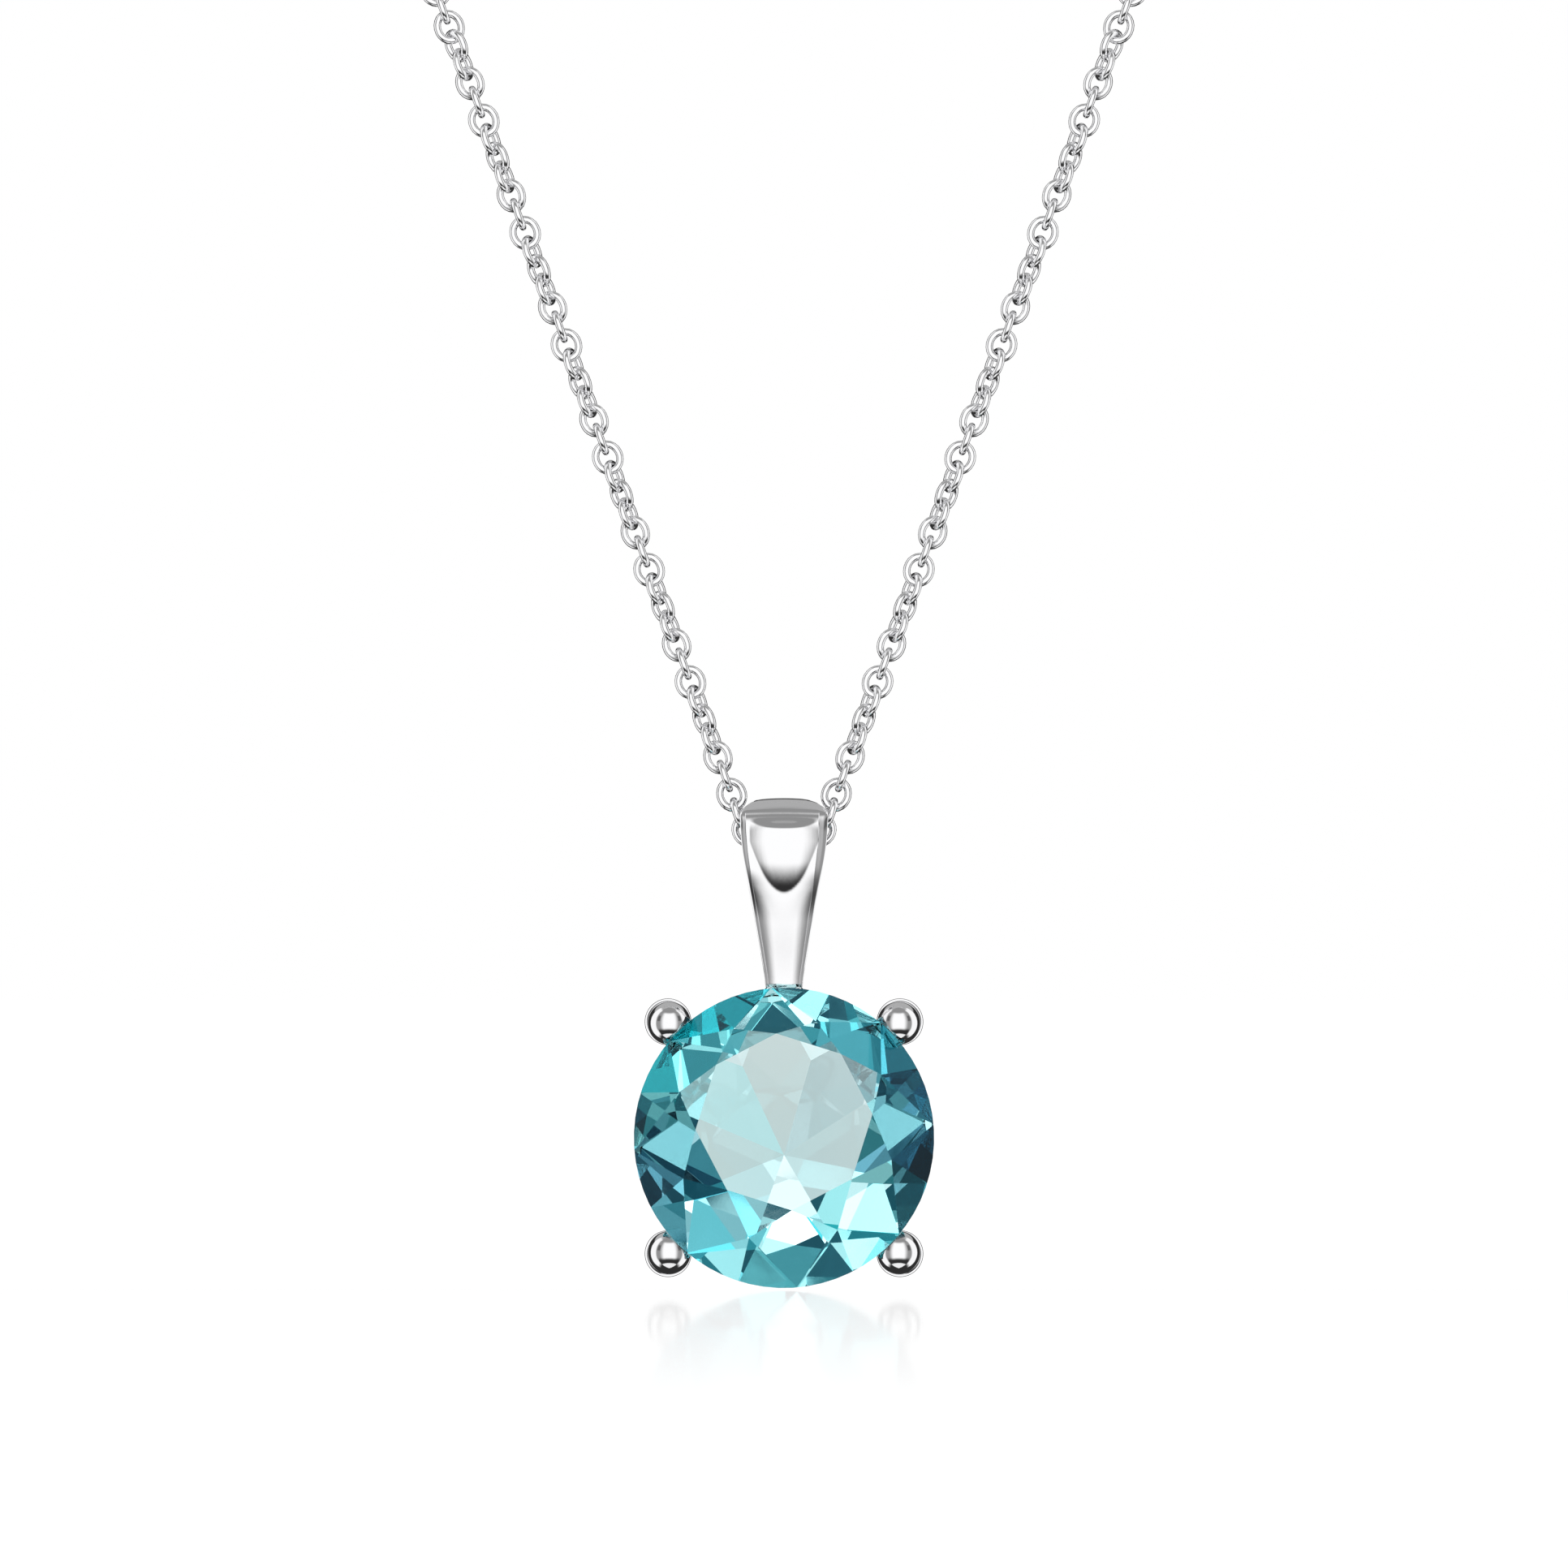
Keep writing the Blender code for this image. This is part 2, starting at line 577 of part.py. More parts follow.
def make_clasp(mat, spring_mat):
    """Tube ring, bolt with its thumb knob, return spring and eye."""
    tube = add_bmesh(
        "clasp_body", as_bmesh(wire("tube", clasp_arc(GAP_TO, 360 + GAP_FROM, 40), CLASP_TUBE, None, sides=3)), mat
    )
    bore = as_bmesh(wire("bore", clasp_arc(GAP_TO - 4, 364 + GAP_FROM, 41), CLASP_BORE, None, sides=3))
    combine(tube, add_cutter("clasp_bore", bore), "DIFFERENCE")
    slot = as_bmesh(
        wire(
            "slot",
            clasp_arc(KNOB_AT - 5, KNOB_AT + BOLT_OPENS + 5, 12, SLOT_OUT),
            SLOT_RADIUS,
            None,
            sides=2,
        )
    )
    combine(tube, add_cutter("thumb_slot", slot), "DIFFERENCE")
    bolt = add_bmesh(
        "clasp_bolt",
        as_bmesh(wire("rod", clasp_arc(GAP_FROM - 4, BOLT_TO, 21), BOLT_WIRE, None, sides=2)),
        mat,
    )
    knob_way = Vector((math.cos(math.radians(KNOB_AT)), 0, math.sin(math.radians(KNOB_AT))))
    stem = as_bmesh(wire("stem", [CLASP_RADIUS * knob_way, KNOB_OUT * knob_way], KNOB_STEM, None, sides=2))
    combine(bolt, add_cutter("knob_stem", stem), "UNION")
    ball = bmesh.new()
    bmesh.ops.create_uvsphere(ball, u_segments=12, v_segments=8, radius=KNOB_RADIUS)
    bmesh.ops.translate(ball, vec=KNOB_OUT * knob_way, verts=ball.verts)
    combine(bolt, add_cutter("knob_ball", ball), "UNION")
    coil = []
    count = SPRING_TURNS * 8 + 1
    for i in range(count):
        angle = math.radians(SPRING_FROM + (SPRING_TO - SPRING_FROM) * i / (count - 1))
        out = math.cos(angle) * X + math.sin(angle) * Z
        turn = 2 * math.pi * i / 8
        coil.append(CLASP_RADIUS * out + SPRING_RADIUS * (math.cos(turn) * out + math.sin(turn) * Y))
    wire("clasp_spring", coil, SPRING_WIRE, spring_mat, sides=1)


def make_rings(mat):
    """The eye on the clasp and the rings that join it to the chain's two ends."""
    wire("clasp_eye", ring_points(EYE_X * X, EYE_RADIUS, X, Z, 20), RING_WIRE, mat, cyclic=True)
    wire("clasp_jump_ring", ring_points(JUMP_X * X, JUMP_RADIUS, X, Y, 24), RING_WIRE, mat, cyclic=True)
    wire("end_ring", ring_points(END_RING_X * X, END_RING_RADIUS, X, Y, 32), END_RING_WIRE, mat, cyclic=True)
    wire("end_jump_ring", ring_points(END_JUMP_X * X, END_JUMP_RADIUS, X, Z, 24), RING_WIRE, mat, cyclic=True)


def hang(name, place, children):
    """Gives the pieces of one moving body a parent on its joint's axis."""
    axis = bpy.data.objects.new(name, None)
    axis.location = place
    axis.empty_display_size = 2 * MM
    bpy.data.collections[MODEL].objects.link(axis)
    for child in children:
        piece = bpy.data.objects[child]
        piece.parent = axis
        piece.matrix_parent_inverse = Matrix.Translation(-place)


def hang_all():
    links = ["chain_link_middle"]
    for hand in ("left", "right"):
        links += [f"chain_link_{hand}_{index}" for index in range(1, LINKS_AT_BAIL + 1)]
    for name, distance in zip(("lower", "middle", "upper"), DROP_JOINTS):
        place = on_chain(distance, 1)
        place.x = 0
        sections = [f"chain_{name}_left", f"chain_{name}_right"]
        hang(f"{name}_drop_axis", place, sections + (links if name == "lower" else []))
    hang("bail_axis", Vector((0, -NECK_DEPTH, LOWEST_Z)), ["bail"])
    prongs = [f"prong_{row}_{hand}" for row in ("upper", "lower") for hand in ("left", "right")]
    pivot = STONE_CENTRE + Vector((0, PIVOT_Y, PIVOT_HEIGHT))
    hang("setting_axis", pivot, ["gem", "gallery_rail", "base_rail", "setting_loop", *prongs])
    hang("clasp_axis", Vector((0, 0, 0)), ["clasp_bolt"])


def main():
    clear_scene()
    collection(MODEL)
    collection(CUTTERS)
    silver = material("polished_silver", (0.86, 0.86, 0.88), 1.0, 0.08)
    chain_silver = material("chain_silver", (0.92, 0.92, 0.93), 1.0, 0.12)
    spring_steel = material("spring_steel", (0.55, 0.56, 0.58), 1.0, 0.3)
    stone = material("blue_stone", (0.36, 0.74, 0.78), 0.0, 0.02)
    make_stone(stone)
    seat = make_seat()
    notches = make_prongs(silver, seat)
    make_rails(silver, notches)
    make_setting_loop(silver)
    make_bail(silver)
    make_chain(chain_silver)
    make_clasp(silver, spring_steel)
    make_rings(silver)
    hang_all()


main()
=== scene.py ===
"""Looks of the pendant necklace: real interlocked links, the domed bail, the basket, the stone and the clasp.

Everything is in metres in the CAD's frame: +X to the right as seen from the front, +Y from the pendant back to
the nape, +Z up. Sizes below are in millimetres times MM, or in plain millimetres where their comment says so.
"""

import math

import bmesh
import bpy
import numpy as np
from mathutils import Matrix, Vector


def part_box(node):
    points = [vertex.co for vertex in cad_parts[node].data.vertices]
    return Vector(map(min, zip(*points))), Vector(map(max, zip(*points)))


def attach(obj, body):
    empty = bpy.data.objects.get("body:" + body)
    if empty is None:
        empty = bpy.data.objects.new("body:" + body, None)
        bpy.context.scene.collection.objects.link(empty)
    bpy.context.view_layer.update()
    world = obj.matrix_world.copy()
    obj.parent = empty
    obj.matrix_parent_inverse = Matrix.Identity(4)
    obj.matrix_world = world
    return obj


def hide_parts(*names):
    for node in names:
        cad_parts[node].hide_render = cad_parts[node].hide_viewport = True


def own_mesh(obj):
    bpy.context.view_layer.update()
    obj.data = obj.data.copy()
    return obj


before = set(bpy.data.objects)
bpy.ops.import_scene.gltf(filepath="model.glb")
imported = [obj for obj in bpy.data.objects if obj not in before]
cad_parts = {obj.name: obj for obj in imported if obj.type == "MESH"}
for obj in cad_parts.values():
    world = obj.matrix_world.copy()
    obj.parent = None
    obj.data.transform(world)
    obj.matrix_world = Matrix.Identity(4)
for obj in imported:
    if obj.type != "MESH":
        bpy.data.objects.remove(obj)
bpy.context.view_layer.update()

MM = 0.001
X, Y, Z = np.eye(3)


def middle_of(node):
    """Centre of a CAD node's box."""
    low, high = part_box(node)
    return np.array((low + high) / 2)


# ---------------------------------------------------------------- sizes

# Places taken from the frame
HANG = middle_of("chain_link_middle")  # the lowest point of the chain's line
GEM_LOW, GEM_HIGH = (np.array(corner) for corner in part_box("gem"))
STONE_RADIUS = 0.5 * (GEM_HIGH[0] - GEM_LOW[0])
STONE_AHEAD = 0.85 * MM  # how far the stone's centre hangs in front of the chain's line
STONE = np.array([0.0, HANG[1] - STONE_AHEAD, 0.5 * (GEM_LOW[2] + GEM_HIGH[2])])

# Chain
LINK_WIRE = 0.25 * MM
LINK_WIDTH = 1.05 * MM
LINK_LENGTH = 1.17 * MM
LINK_PITCH = 0.662 * MM
LINK_SIDES = 22  # points round a link, and round its wire
WIRE_SIDES = 10
LINKS_AT_BAIL = 6  # on each side, each a piece of its own
LINKS_AT_CLASP = 5  # on each side, which turn by quarter turns
BAIL_TWISTS = (0, 90, 10, 100, 166)  # degrees about the chain's line
LINK_TWISTS = (90, 26, 116, 52, 116, 0)
V_HALF_ANGLE = math.radians(20.2)
RUN_HALF = 0.306 * MM  # half of the level run inside the bail
RUN_FILLET = 1.2 * MM
LEG_LENGTH = 91.5 * MM
NECK_DEPTH = -HANG[1]
LEG_PULL = 30.0 * MM  # how far the curve round the neck keeps its first and last directions
NAPE_PULL = 50.0 * MM
CHAIN_END_X = 5.15 * MM
FILLET_STEPS = 24
NECK_STEPS = 400
AHEAD = 0.1 * MM  # the step that finds the chain's direction
DROP_LINKS = (46, 91, 137)  # the last link of each section that swings, which turns round the wire of the next
SWING_SHIFT = 0.5 * (LINK_LENGTH - LINK_WIRE - LINK_PITCH)  # brings that wire to the hinge
HINGE_TWISTS = {45: 168, 46: 90, 47: 0, 48: 64, 49: 128, 91: 90, 92: 0, 138: 0}  # those of the links at a hinge

# Bail: distance behind the chain's line, height above the stone's centre, half width, thickness, in mm
BAIL_SECTIONS = (
    (0.00, 11.31, 0.72, 0.66),
    (-0.60, 11.24, 1.08, 0.54),
    (-1.02, 10.95, 1.43, 0.42),
    (-1.26, 10.60, 1.455, 0.40),
    (-1.36, 10.20, 1.450, 0.38),
    (-1.40, 9.40, 1.365, 0.38),
    (-1.26, 8.30, 1.180, 0.37),
    (-1.02, 7.10, 0.955, 0.36),
    (-0.76, 5.90, 0.745, 0.34),
    (-0.64, 5.32, 0.650, 0.26),
    (-0.60, 5.08, 0.625, 0.20),
    (-0.56, 4.93, 0.580, 0.18),
    (-0.44, 4.80, 0.270, 0.15),
    (-0.24, 4.68, 0.19, 0.13),
    (0.00, 4.64, 0.17, 0.12),
    (0.24, 4.69, 0.17, 0.12),
    (0.46, 4.92, 0.19, 0.14),
    (0.60, 5.34, 0.31, 0.22),
    (0.78, 6.40, 0.56, 0.32),
    (1.05, 7.90, 0.62, 0.34),
    (1.24, 9.30, 0.68, 0.35),
    (1.22, 10.30, 0.71, 0.37),
    (0.86, 10.98, 0.72, 0.48),
)
BAIL_STEPS = 16  # rows between two sections
# Its faces, in mm. A pair of heights above the stone's centre says where something changes.
FRONT_BEFORE = -0.1  # the front strap lies before this
BAIL_DOME = 0.29  # how far the outer face falls to its edges, for each mm of half width
BAIL_DOME_HIGH = 0.05  # higher up
DOME_CHANGE = (7.2, 9.2)
TOP_CHANGE = (10.3, 11.0)
PANEL_POINTS = 73
PANEL_INSET = 0.02
PANEL_SUNK = 0.03
PANEL_TOP = 10.86
PANEL_FADE = 0.1
RIM_POINTS = np.array([0.0, 0.15, 0.55, 1.0])  # across a rim, from its outer edge
RIM_CHANGE = (5.0, PANEL_TOP)
RIM_LEFT = (0.09, 0.17)  # widths of the flat rims at those two heights
RIM_RIGHT = (0.10, 0.29)
RIM_MOST = 0.3  # of the half width
RIM_FALL = 0.42  # slope of the rims
RIM_FALL_LOST = 0.7  # share of it that is lost over the top
LIP_FROM = 0.9  # share of the rim's width beyond which its edge is broken
LIP_FALL = 0.02
BULGE_TIP = 8.17  # the bulge's lowest point
BULGE_TOP = 10.44
BULGE_FADE = 0.24
BULGE_RISE = 0.20
BULGE_LENGTH = 1.9  # over which it rises from its tip
BULGE_SPREAD = 1.27  # of the parabola that bounds it
BULGE_HALF = 1.16
INNER_DOME = 0.06  # rise of the inner face, for each mm of half width
INNER_EDGE = 0.96  # share of the half width that it takes
INNER_POINTS = 9

# Basket
PRONG_RADIUS = 5.40 * MM
BALL_RADIUS = 0.73 * MM
BALL_Y = 0.10 * MM
COLLAR_RADIUS = 0.78 * MM
COLLAR_SHIFT = 0.06 * MM  # outwards from the ball's centre
# The collar's section in mm: how far inside that radius, and how far behind the ball's centre
COLLAR_SECTION = (
    (0.20, 0.12),
    (0.07, 0.04),
    (0.02, 0.05),
    (0.0, 0.10),
    (0.0, 0.30),
    (0.10, 0.42),
    (0.38, 0.60),
    (0.38, 0.12),
)
SEAT_GAP = 0.03 * MM  # between the stone and the metal round it
SEAT_FRONT = -2.5 * MM
GIRDLE_BACK = 0.13 * MM
PAVILION_DEPTH = 3.85 * MM
SEAT_TIP = 0.02 * MM
SHAFT_FRONT_RADIUS = 0.56 * MM
SHAFT_BACK_RADIUS = 0.40 * MM
SHAFT_STEPS = 12
SHAFT_SIDES = 32
COLLAR_SIDES = 64
BALL_POINTS = (64, 40)  # round the ball, and from pole to pole
SEAT_SIDES = 128
BASKET_DEPTH = 4.40 * MM
PRONG_BACK_RADIUS = 3.35 * MM
GALLERY_RADIUS = 4.20 * MM
GALLERY_WIRE = 0.32 * MM
GALLERY_Y = 1.36 * MM
GALLERY_SIDES = 20
RAIL_POINTS = 96  # round both rails
BASE_INNER = 2.35 * MM
BASE_OUTER = 3.10 * MM
BASE_THICKNESS = 0.60 * MM
BASE_BEVEL = 0.10 * MM
LOOP_RADIUS = 0.56 * MM
LOOP_WIRE = 0.20 * MM
LOOP_FOOT = 0.08 * MM
LOOP_LEAN = math.radians(40)
LOOP_POINTS = 25
LOOP_SIDES = 16
PIVOT_HEIGHT = 5.05 * MM  # of the loop's top, on which the setting swings, above the stone's centre

# Clasp, in the plane of X and Z round the origin
CLASP_RADIUS = 2.20 * MM
CLASP_TUBE = 0.55 * MM
CLASP_BORE = 0.34 * MM
BOLT_WIRE = 0.28 * MM
GAP_FROM = 18  # directions in the clasp's plane, in degrees from the right
GAP_TO = 62
BORE_PAST = 4  # how far the bore is cut past the tube's ends
BOLT_PAST = 4  # how far the closed bolt reaches into the far end
BOLT_TO = 150
BOLT_OPENS = 46
BOLT_STEPS = 50
TIP_STEPS = 4  # over which its tip tapers
TIP_SHARE = 0.72
KNOB_AT = 98
SLOT_PAST = 5  # how far the slot runs past the knob's travel
SPRING_FROM = 153
SPRING_TO = 250
SPRING_TURNS = 12
SPRING_POINTS = 14  # in one turn
SPRING_SIDES = 8
SPRING_RADIUS = 0.16 * MM
SPRING_WIRE = 0.045 * MM
SLOT_RADIUS = 0.25 * MM
SLOT_OUT = 2.66 * MM
KNOB_STEM = 0.15 * MM
KNOB_RADIUS = 0.30 * MM
KNOB_OUT = 3.09 * MM
KNOB_POINTS = (28, 16)  # round the knob, and from pole to pole
BODY_STEPS, BORE_STEPS, SLOT_STEPS = 110, 112, 30  # along each
BODY_SIDES, BORE_SIDES, SLOT_SIDES, BOLT_SIDES, STEM_SIDES = 28, 24, 20, 20, 16
RING_WIRE = 0.20 * MM
END_RING_WIRE = 0.25 * MM
RING_SPLIT = 1.2  # half the cut in a ring that opens, in degrees
SPLIT_AT = 50
RING_STEPS = 48
RING_SIDES = 14

# The photograph's framing
VIEW_WIDTH = 52.2 * MM
VIEW_RISE = 11.78 * MM  # the view's centre above the stone's
VIEW_DISTANCE = 0.9
FLOOR_DROP = 5.05 * MM  # the floor below the stone's centre

# Studio
FLOOR_HALF = 1.2
FLOOR_WHITE = 1.09
FLOOR_GLOSS = 0.30
FLOOR_ROUGHNESS = 0.045
GLOSS_REACH = 210 * MM  # how far in front of the pendant the floor still mirrors
GLOSS_BEHIND = 2 * MM
WORLD_DARK = 0.03
# Panels of light, in degrees: azimuth from and to, elevation from and to, then brightness, then how far the
# left, right, bottom and top edges fade. Azimuth 0 is in front of the pendant, and 90 is to its right.
PANELS = (
    ((-180, 180), (58, 90), 0.30, (1, 1, 14, 1)),  # top
    ((-180, -90), (38, 80), 0.45, (1, 20, 8, 14)),  # rear top
    ((90, 180), (38, 80), 0.45, (20, 1, 8, 14)),
    ((-112, -78), (-45, 56), 1.05, (6, 14, 16, 10)),  # left
    ((78, 112), (-45, 56), 1.05, (14, 6, 16, 10)),  # right
    ((-66, -30), (-20, 50), 0.32, (14, 10, 18, 10)),  # greys between the panels
    ((30, 66), (-20, 50), 0.32, (10, 14, 18, 10)),
    ((-64, -54), (14, 30), 0.12, (8, 8, 8, 10)),  # dark corners
    ((54, 64), (14, 30), 0.12, (8, 8, 8, 10)),
    ((-26, 26), (-22, 46), 1.10, (28, 28, 18, 14)),  # front, above the camera
    ((-60, 60), (-90, -60), 0.95, (10, 10, 1, 6)),  # table in front
)
REAR_EDGE = (0.90, 0.96)  # how far back a direction points where the rear light starts, and where it is full
REAR_LIGHT = 1.0
THROUGH_EDGE = (-0.1, 0.1)  # and where the patches below change from the front ones to the rear ones
# Seen through the stone: small patches in front of it, pale ones behind, each with the share it starts at
GLINT_SCALE = 30.0
GLINT_SHIFT = (0.37, 0.11, 0.53)
GLINTS = (
    (0.0, (0.03, 0.13, 0.17)),
    (0.2, (0.12, 0.38, 0.43)),
    (0.37, (0.52, 0.80, 0.84)),
    (0.58, (1.05, 1.18, 1.18)),
    (0.74, (2.3, 2.3, 2.3)),
)
WINDOW_SCALE = 2.4
WINDOW = (
    (0.0, (0.86, 0.90, 0.90)),
    (0.35, (0.95, 1.0, 1.0)),
    (0.7, (1.0, 1.0, 1.0)),
)

# Metal
WEAR_SCALE = 900.0  # of the patches of wear, in cells to the metre
WEAR_RANGE = (0.35, 0.70)  # of that noise, over which the metal goes from smooth to rough
SCRATCH_SCALE = (9000.0, 9000.0, 1100.0)
SCRATCH_DEPTH = 0.004 * MM

# Stone
POLISH_SCALE = 1500.0
STONE_ROUGHNESS = 0.02  # at most
STONE_IOR = 1.48
STONE_SHINE = (0.15, 0.35, 0.45)
STONE_COLOR = (0.12, 0.72, 0.77)
STONE_DENSITY = 32.0
BACK_COLOR = (0.8, 0.97, 0.98)  # of the small facets at its back
CROWN_BEFORE = -0.1  # a facet of the crown has a normal further forward than this
SAME_POINT = 1e-6  # points of its mesh closer than this are one
FLAT_ANGLE = math.radians(0.3)  # faces that meet at less are one facet
# Colours of its crown towards the rim: partly its own blue-green, partly painted shade, dark and pale facet by
# facet. Clock direction in degrees from the top, and colour
RIM_PAINT_FROM = 0.55
RIM_PAINT_FULL = 0.75
RIM_TINT_AND_PAINTED_SHADE = (
    (0, (0.12, 0.50, 0.56)),
    (25, (0.10, 0.45, 0.52)),
    (50, (0.06, 0.34, 0.42)),
    (72, (0.006, 0.05, 0.09)),
    (112, (0.003, 0.025, 0.05)),
    (132, (0.16, 0.50, 0.56)),
    (158, (0.30, 0.72, 0.76)),
    (180, (0.12, 0.44, 0.47)),
    (205, (0.30, 0.72, 0.76)),
    (226, (0.14, 0.50, 0.60)),
    (238, (0.004, 0.03, 0.055)),
    (258, (0.004, 0.035, 0.06)),
    (274, (0.20, 0.45, 0.45)),
    (295, (0.01, 0.30, 0.34)),
    (325, (0.006, 0.24, 0.28)),
    (345, (0.03, 0.36, 0.42)),
    (360, (0.12, 0.50, 0.56)),
)
PAINTED_SHADE_DEPTHS = (1.5, 0.85, 1.2, 1.7, 0.95)  # how deep the painted shade is in one rim facet after another
KITE_PAINTED_SHADE_DEPTH = 0.3  # and in the kites between the table and the rim
# Painted light and shade on the large facets behind the table, by the same clock
WEDGE_PAINTED_LIGHT = (
    (0, (0.54, 0.58, 0.56)),
    (45, (0.25, 0.36, 0.38)),
    (90, (0.46, 0.56, 0.56)),
    (135, (0.60, 0.84, 0.86)),
    (180, (0.88, 1.0, 1.0)),
    (225, (0.56, 0.84, 0.86)),
    (270, (0.42, 0.54, 0.53)),
    (315, (0.42, 0.80, 0.82)),
    (360, (0.54, 0.58, 0.56)),
)

# ---------------------------------------------------------------- meshes


def smooth_step(low, high, value):
    """0 below low, 1 above high, and a smooth rise between."""
    t = min(1.0, max(0.0, (value - low) / (high - low)))
    return t * t * (3 - 2 * t)


def grid_faces(rows, columns, close_rows, close_columns):
    """Quads between the points of a grid, numbered row by row."""
    faces = []
    for i in range(rows if close_rows else rows - 1):
        for j in range(columns if close_columns else columns - 1):
            k, m = (i + 1) % rows, (j + 1) % columns
            faces.append((i * columns + j, k * columns + j, k * columns + m, i * columns + m))
    return faces


def new_object(name, points, faces):
    """An object from points and faces, with its normals outwards."""
    mesh = bpy.data.meshes.new(name)
    mesh.from_pydata([tuple(map(float, p)) for p in points], [], faces)
    bm = bmesh.new()
    bm.from_mesh(mesh)
    bmesh.ops.recalc_face_normals(bm, faces=bm.faces)
    bm.to_mesh(mesh)
    bm.free()
    made = bpy.data.objects.new(name, mesh)
    bpy.context.scene.collection.objects.link(made)
    return made


def add_piece(name, points, faces, mat, body, nodes=(), slot="silver", angle=40):
    """A piece from points and faces, smooth but for its sharp edges, riding on a CAD body."""
    piece = new_object(name, points, faces)
    piece.data.shade_smooth()
    piece.data.set_sharp_from_angle(angle=math.radians(angle))
    piece.data.materials.append(mat)
    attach(piece, body)
    if nodes:
        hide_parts(*nodes)
    return piece


def tube(path, radii, sides, closed=False):
    """Points and faces of a round tube along a path. Its radius is one number, or one for each point."""
    path = np.array(path, float)
    count = len(path)
    ahead = np.roll(path, -1, axis=0) - np.roll(path, 1, axis=0)
    if not closed:
        ahead[0] = path[1] - path[0]
        ahead[-1] = path[-1] - path[-2]
    ahead /= np.linalg.norm(ahead, axis=1)[:, None]
    normal = np.cross(ahead[0], X if abs(ahead[0][0]) < 0.9 else Y)
    rings = []
    turns = np.arange(sides) * 2 * math.pi / sides
    for i in range(count):
        normal = normal - ahead[i] * normal.dot(ahead[i])
        normal /= np.linalg.norm(normal)
        side = np.cross(ahead[i], normal)
        radius = radii if np.isscalar(radii) else radii[i]
        rings.append(path[i] + radius * (np.outer(np.cos(turns), normal) + np.outer(np.sin(turns), side)))
    points = list(np.concatenate(rings))
    faces = grid_faces(count, sides, closed, True)
    if not closed:
        faces.append(tuple(range(sides)))
        faces.append(tuple((count - 1) * sides + j for j in range(sides)))
    return points, faces


def merged(parts):
    """One set of points and faces from several such sets."""
    points, faces = [], []
    for part_points, part_faces in parts:
        start = len(points)
        points += list(part_points)
        faces += [tuple(index + start for index in face) for face in part_faces]
    return points, faces


def circle(centre, radius, first, second, count, start=0.0, stop=360.0, closed=True):
    """Points on a circle or an arc in the plane of two directions."""
    angles = np.radians(start + (stop - start) * np.arange(count) / (count if closed else count - 1))
    return centre + radius * (np.outer(np.cos(angles), first) + np.outer(np.sin(angles), second))


def turned(profile, centre, axis, first, sides):
    """A closed profile of (radius, height) points turned round an axis through the centre."""
    second = np.cross(axis, first)
    points = []
    for turn in np.arange(sides) * 2 * math.pi / sides:
        out = math.cos(turn) * first + math.sin(turn) * second
        points += [centre + radius * out + height * axis for radius, height in profile]
    return points, grid_faces(sides, len(profile), True, True)


def ball(centre, radius, axis, around, along):
    """A ball whose poles lie on the axis."""
    first = np.cross(axis, X if abs(axis[0]) < 0.9 else Z)
    first /= np.linalg.norm(first)
    second = np.cross(axis, first)
    points = [centre + radius * axis]
    for i in range(1, along):
        tilt = math.pi * i / along
        middle = centre + radius * math.cos(tilt) * axis
        points += list(circle(middle, radius * math.sin(tilt), first, second, around))
    points.append(centre - radius * axis)
    last = len(points) - 1
    faces = [(0, 1 + j, 1 + (j + 1) % around) for j in range(around)]
    rows = grid_faces(along - 1, around, False, True)
    faces += [tuple(index + 1 for index in face) for face in rows]
    start = last - around
    faces += [(last, start + (j + 1) % around, start + j) for j in range(around)]
    return points, faces


def combined(first, *others):
    """Points and faces of one closed solid: the first, with each (operation, solid) applied in turn."""
    base = new_object("base", *first)
    helpers = [base]
    for operation, solid in others:
        helper = new_object("helper", *solid)
        helpers.append(helper)
        modifier = base.modifiers.new(operation, "BOOLEAN")
        modifier.operation = operation
        modifier.solver = "EXACT"
        modifier.object = helper
    bpy.context.view_layer.update()
    mesh = base.evaluated_get(bpy.context.evaluated_depsgraph_get()).to_mesh()
    points = [np.array(vertex.co) for vertex in mesh.vertices]
    faces = [tuple(polygon.vertices) for polygon in mesh.polygons]
    for helper in helpers:
        bpy.data.objects.remove(helper, do_unlink=True)
    return points, faces


# ---------------------------------------------------------------- materials


def new_material(name):
    """A material, with its nodes and links."""
    made = bpy.data.materials.new(name)
    made.use_nodes = True
    return made, made.node_tree.nodes, made.node_tree.links


def noise(nodes, links, vector, scale, detail=2.0):
    """Noise at a place, from 0 to 1."""
    node = nodes.new("ShaderNodeTexNoise")
    node.inputs["Scale"].default_value = scale
    node.inputs["Detail"].default_value = detail
    links.new(vector, node.inputs["Vector"])
    return node.outputs["Fac"]


def spread(nodes, links, value, start, stop, low, high):
    """The value, from start to stop, spread between low and high."""
    node = nodes.new("ShaderNodeMapRange")
    for name, number in (("From Min", start), ("From Max", stop), ("To Min", low), ("To Max", high)):
        node.inputs[name].default_value = number
    links.new(value, node.inputs["Value"])
    return node.outputs["Result"]


def polished_metal(name, color, smooth, rough, scratch):
    """Polished white metal: fine scratches in the bump, and a roughness that varies with wear."""
    made, nodes, links = new_material(name)
    shader = nodes["Principled BSDF"]
    shader.inputs["Base Color"].default_value = (*color, 1.0)
    shader.inputs["Metallic"].default_value = 1.0
    place = nodes.new("ShaderNodeTexCoord").outputs["Object"]
    wear = noise(nodes, links, place, WEAR_SCALE, 4.0)
    links.new(spread(nodes, links, wear, *WEAR_RANGE, smooth, rough), shader.inputs["Roughness"])
    squeeze = nodes.new("ShaderNodeMapping")
    squeeze.inputs["Scale"].default_value = SCRATCH_SCALE
    links.new(place, squeeze.inputs["Vector"])
    bump = nodes.new("ShaderNodeBump")
    bump.inputs["Strength"].default_value = scratch
    bump.inputs["Distance"].default_value = SCRATCH_DEPTH
    links.new(noise(nodes, links, squeeze.outputs["Vector"], 1.0, 3.0), bump.inputs["Height"])
    links.new(bump.outputs["Normal"], shader.inputs["Normal"])
    return made


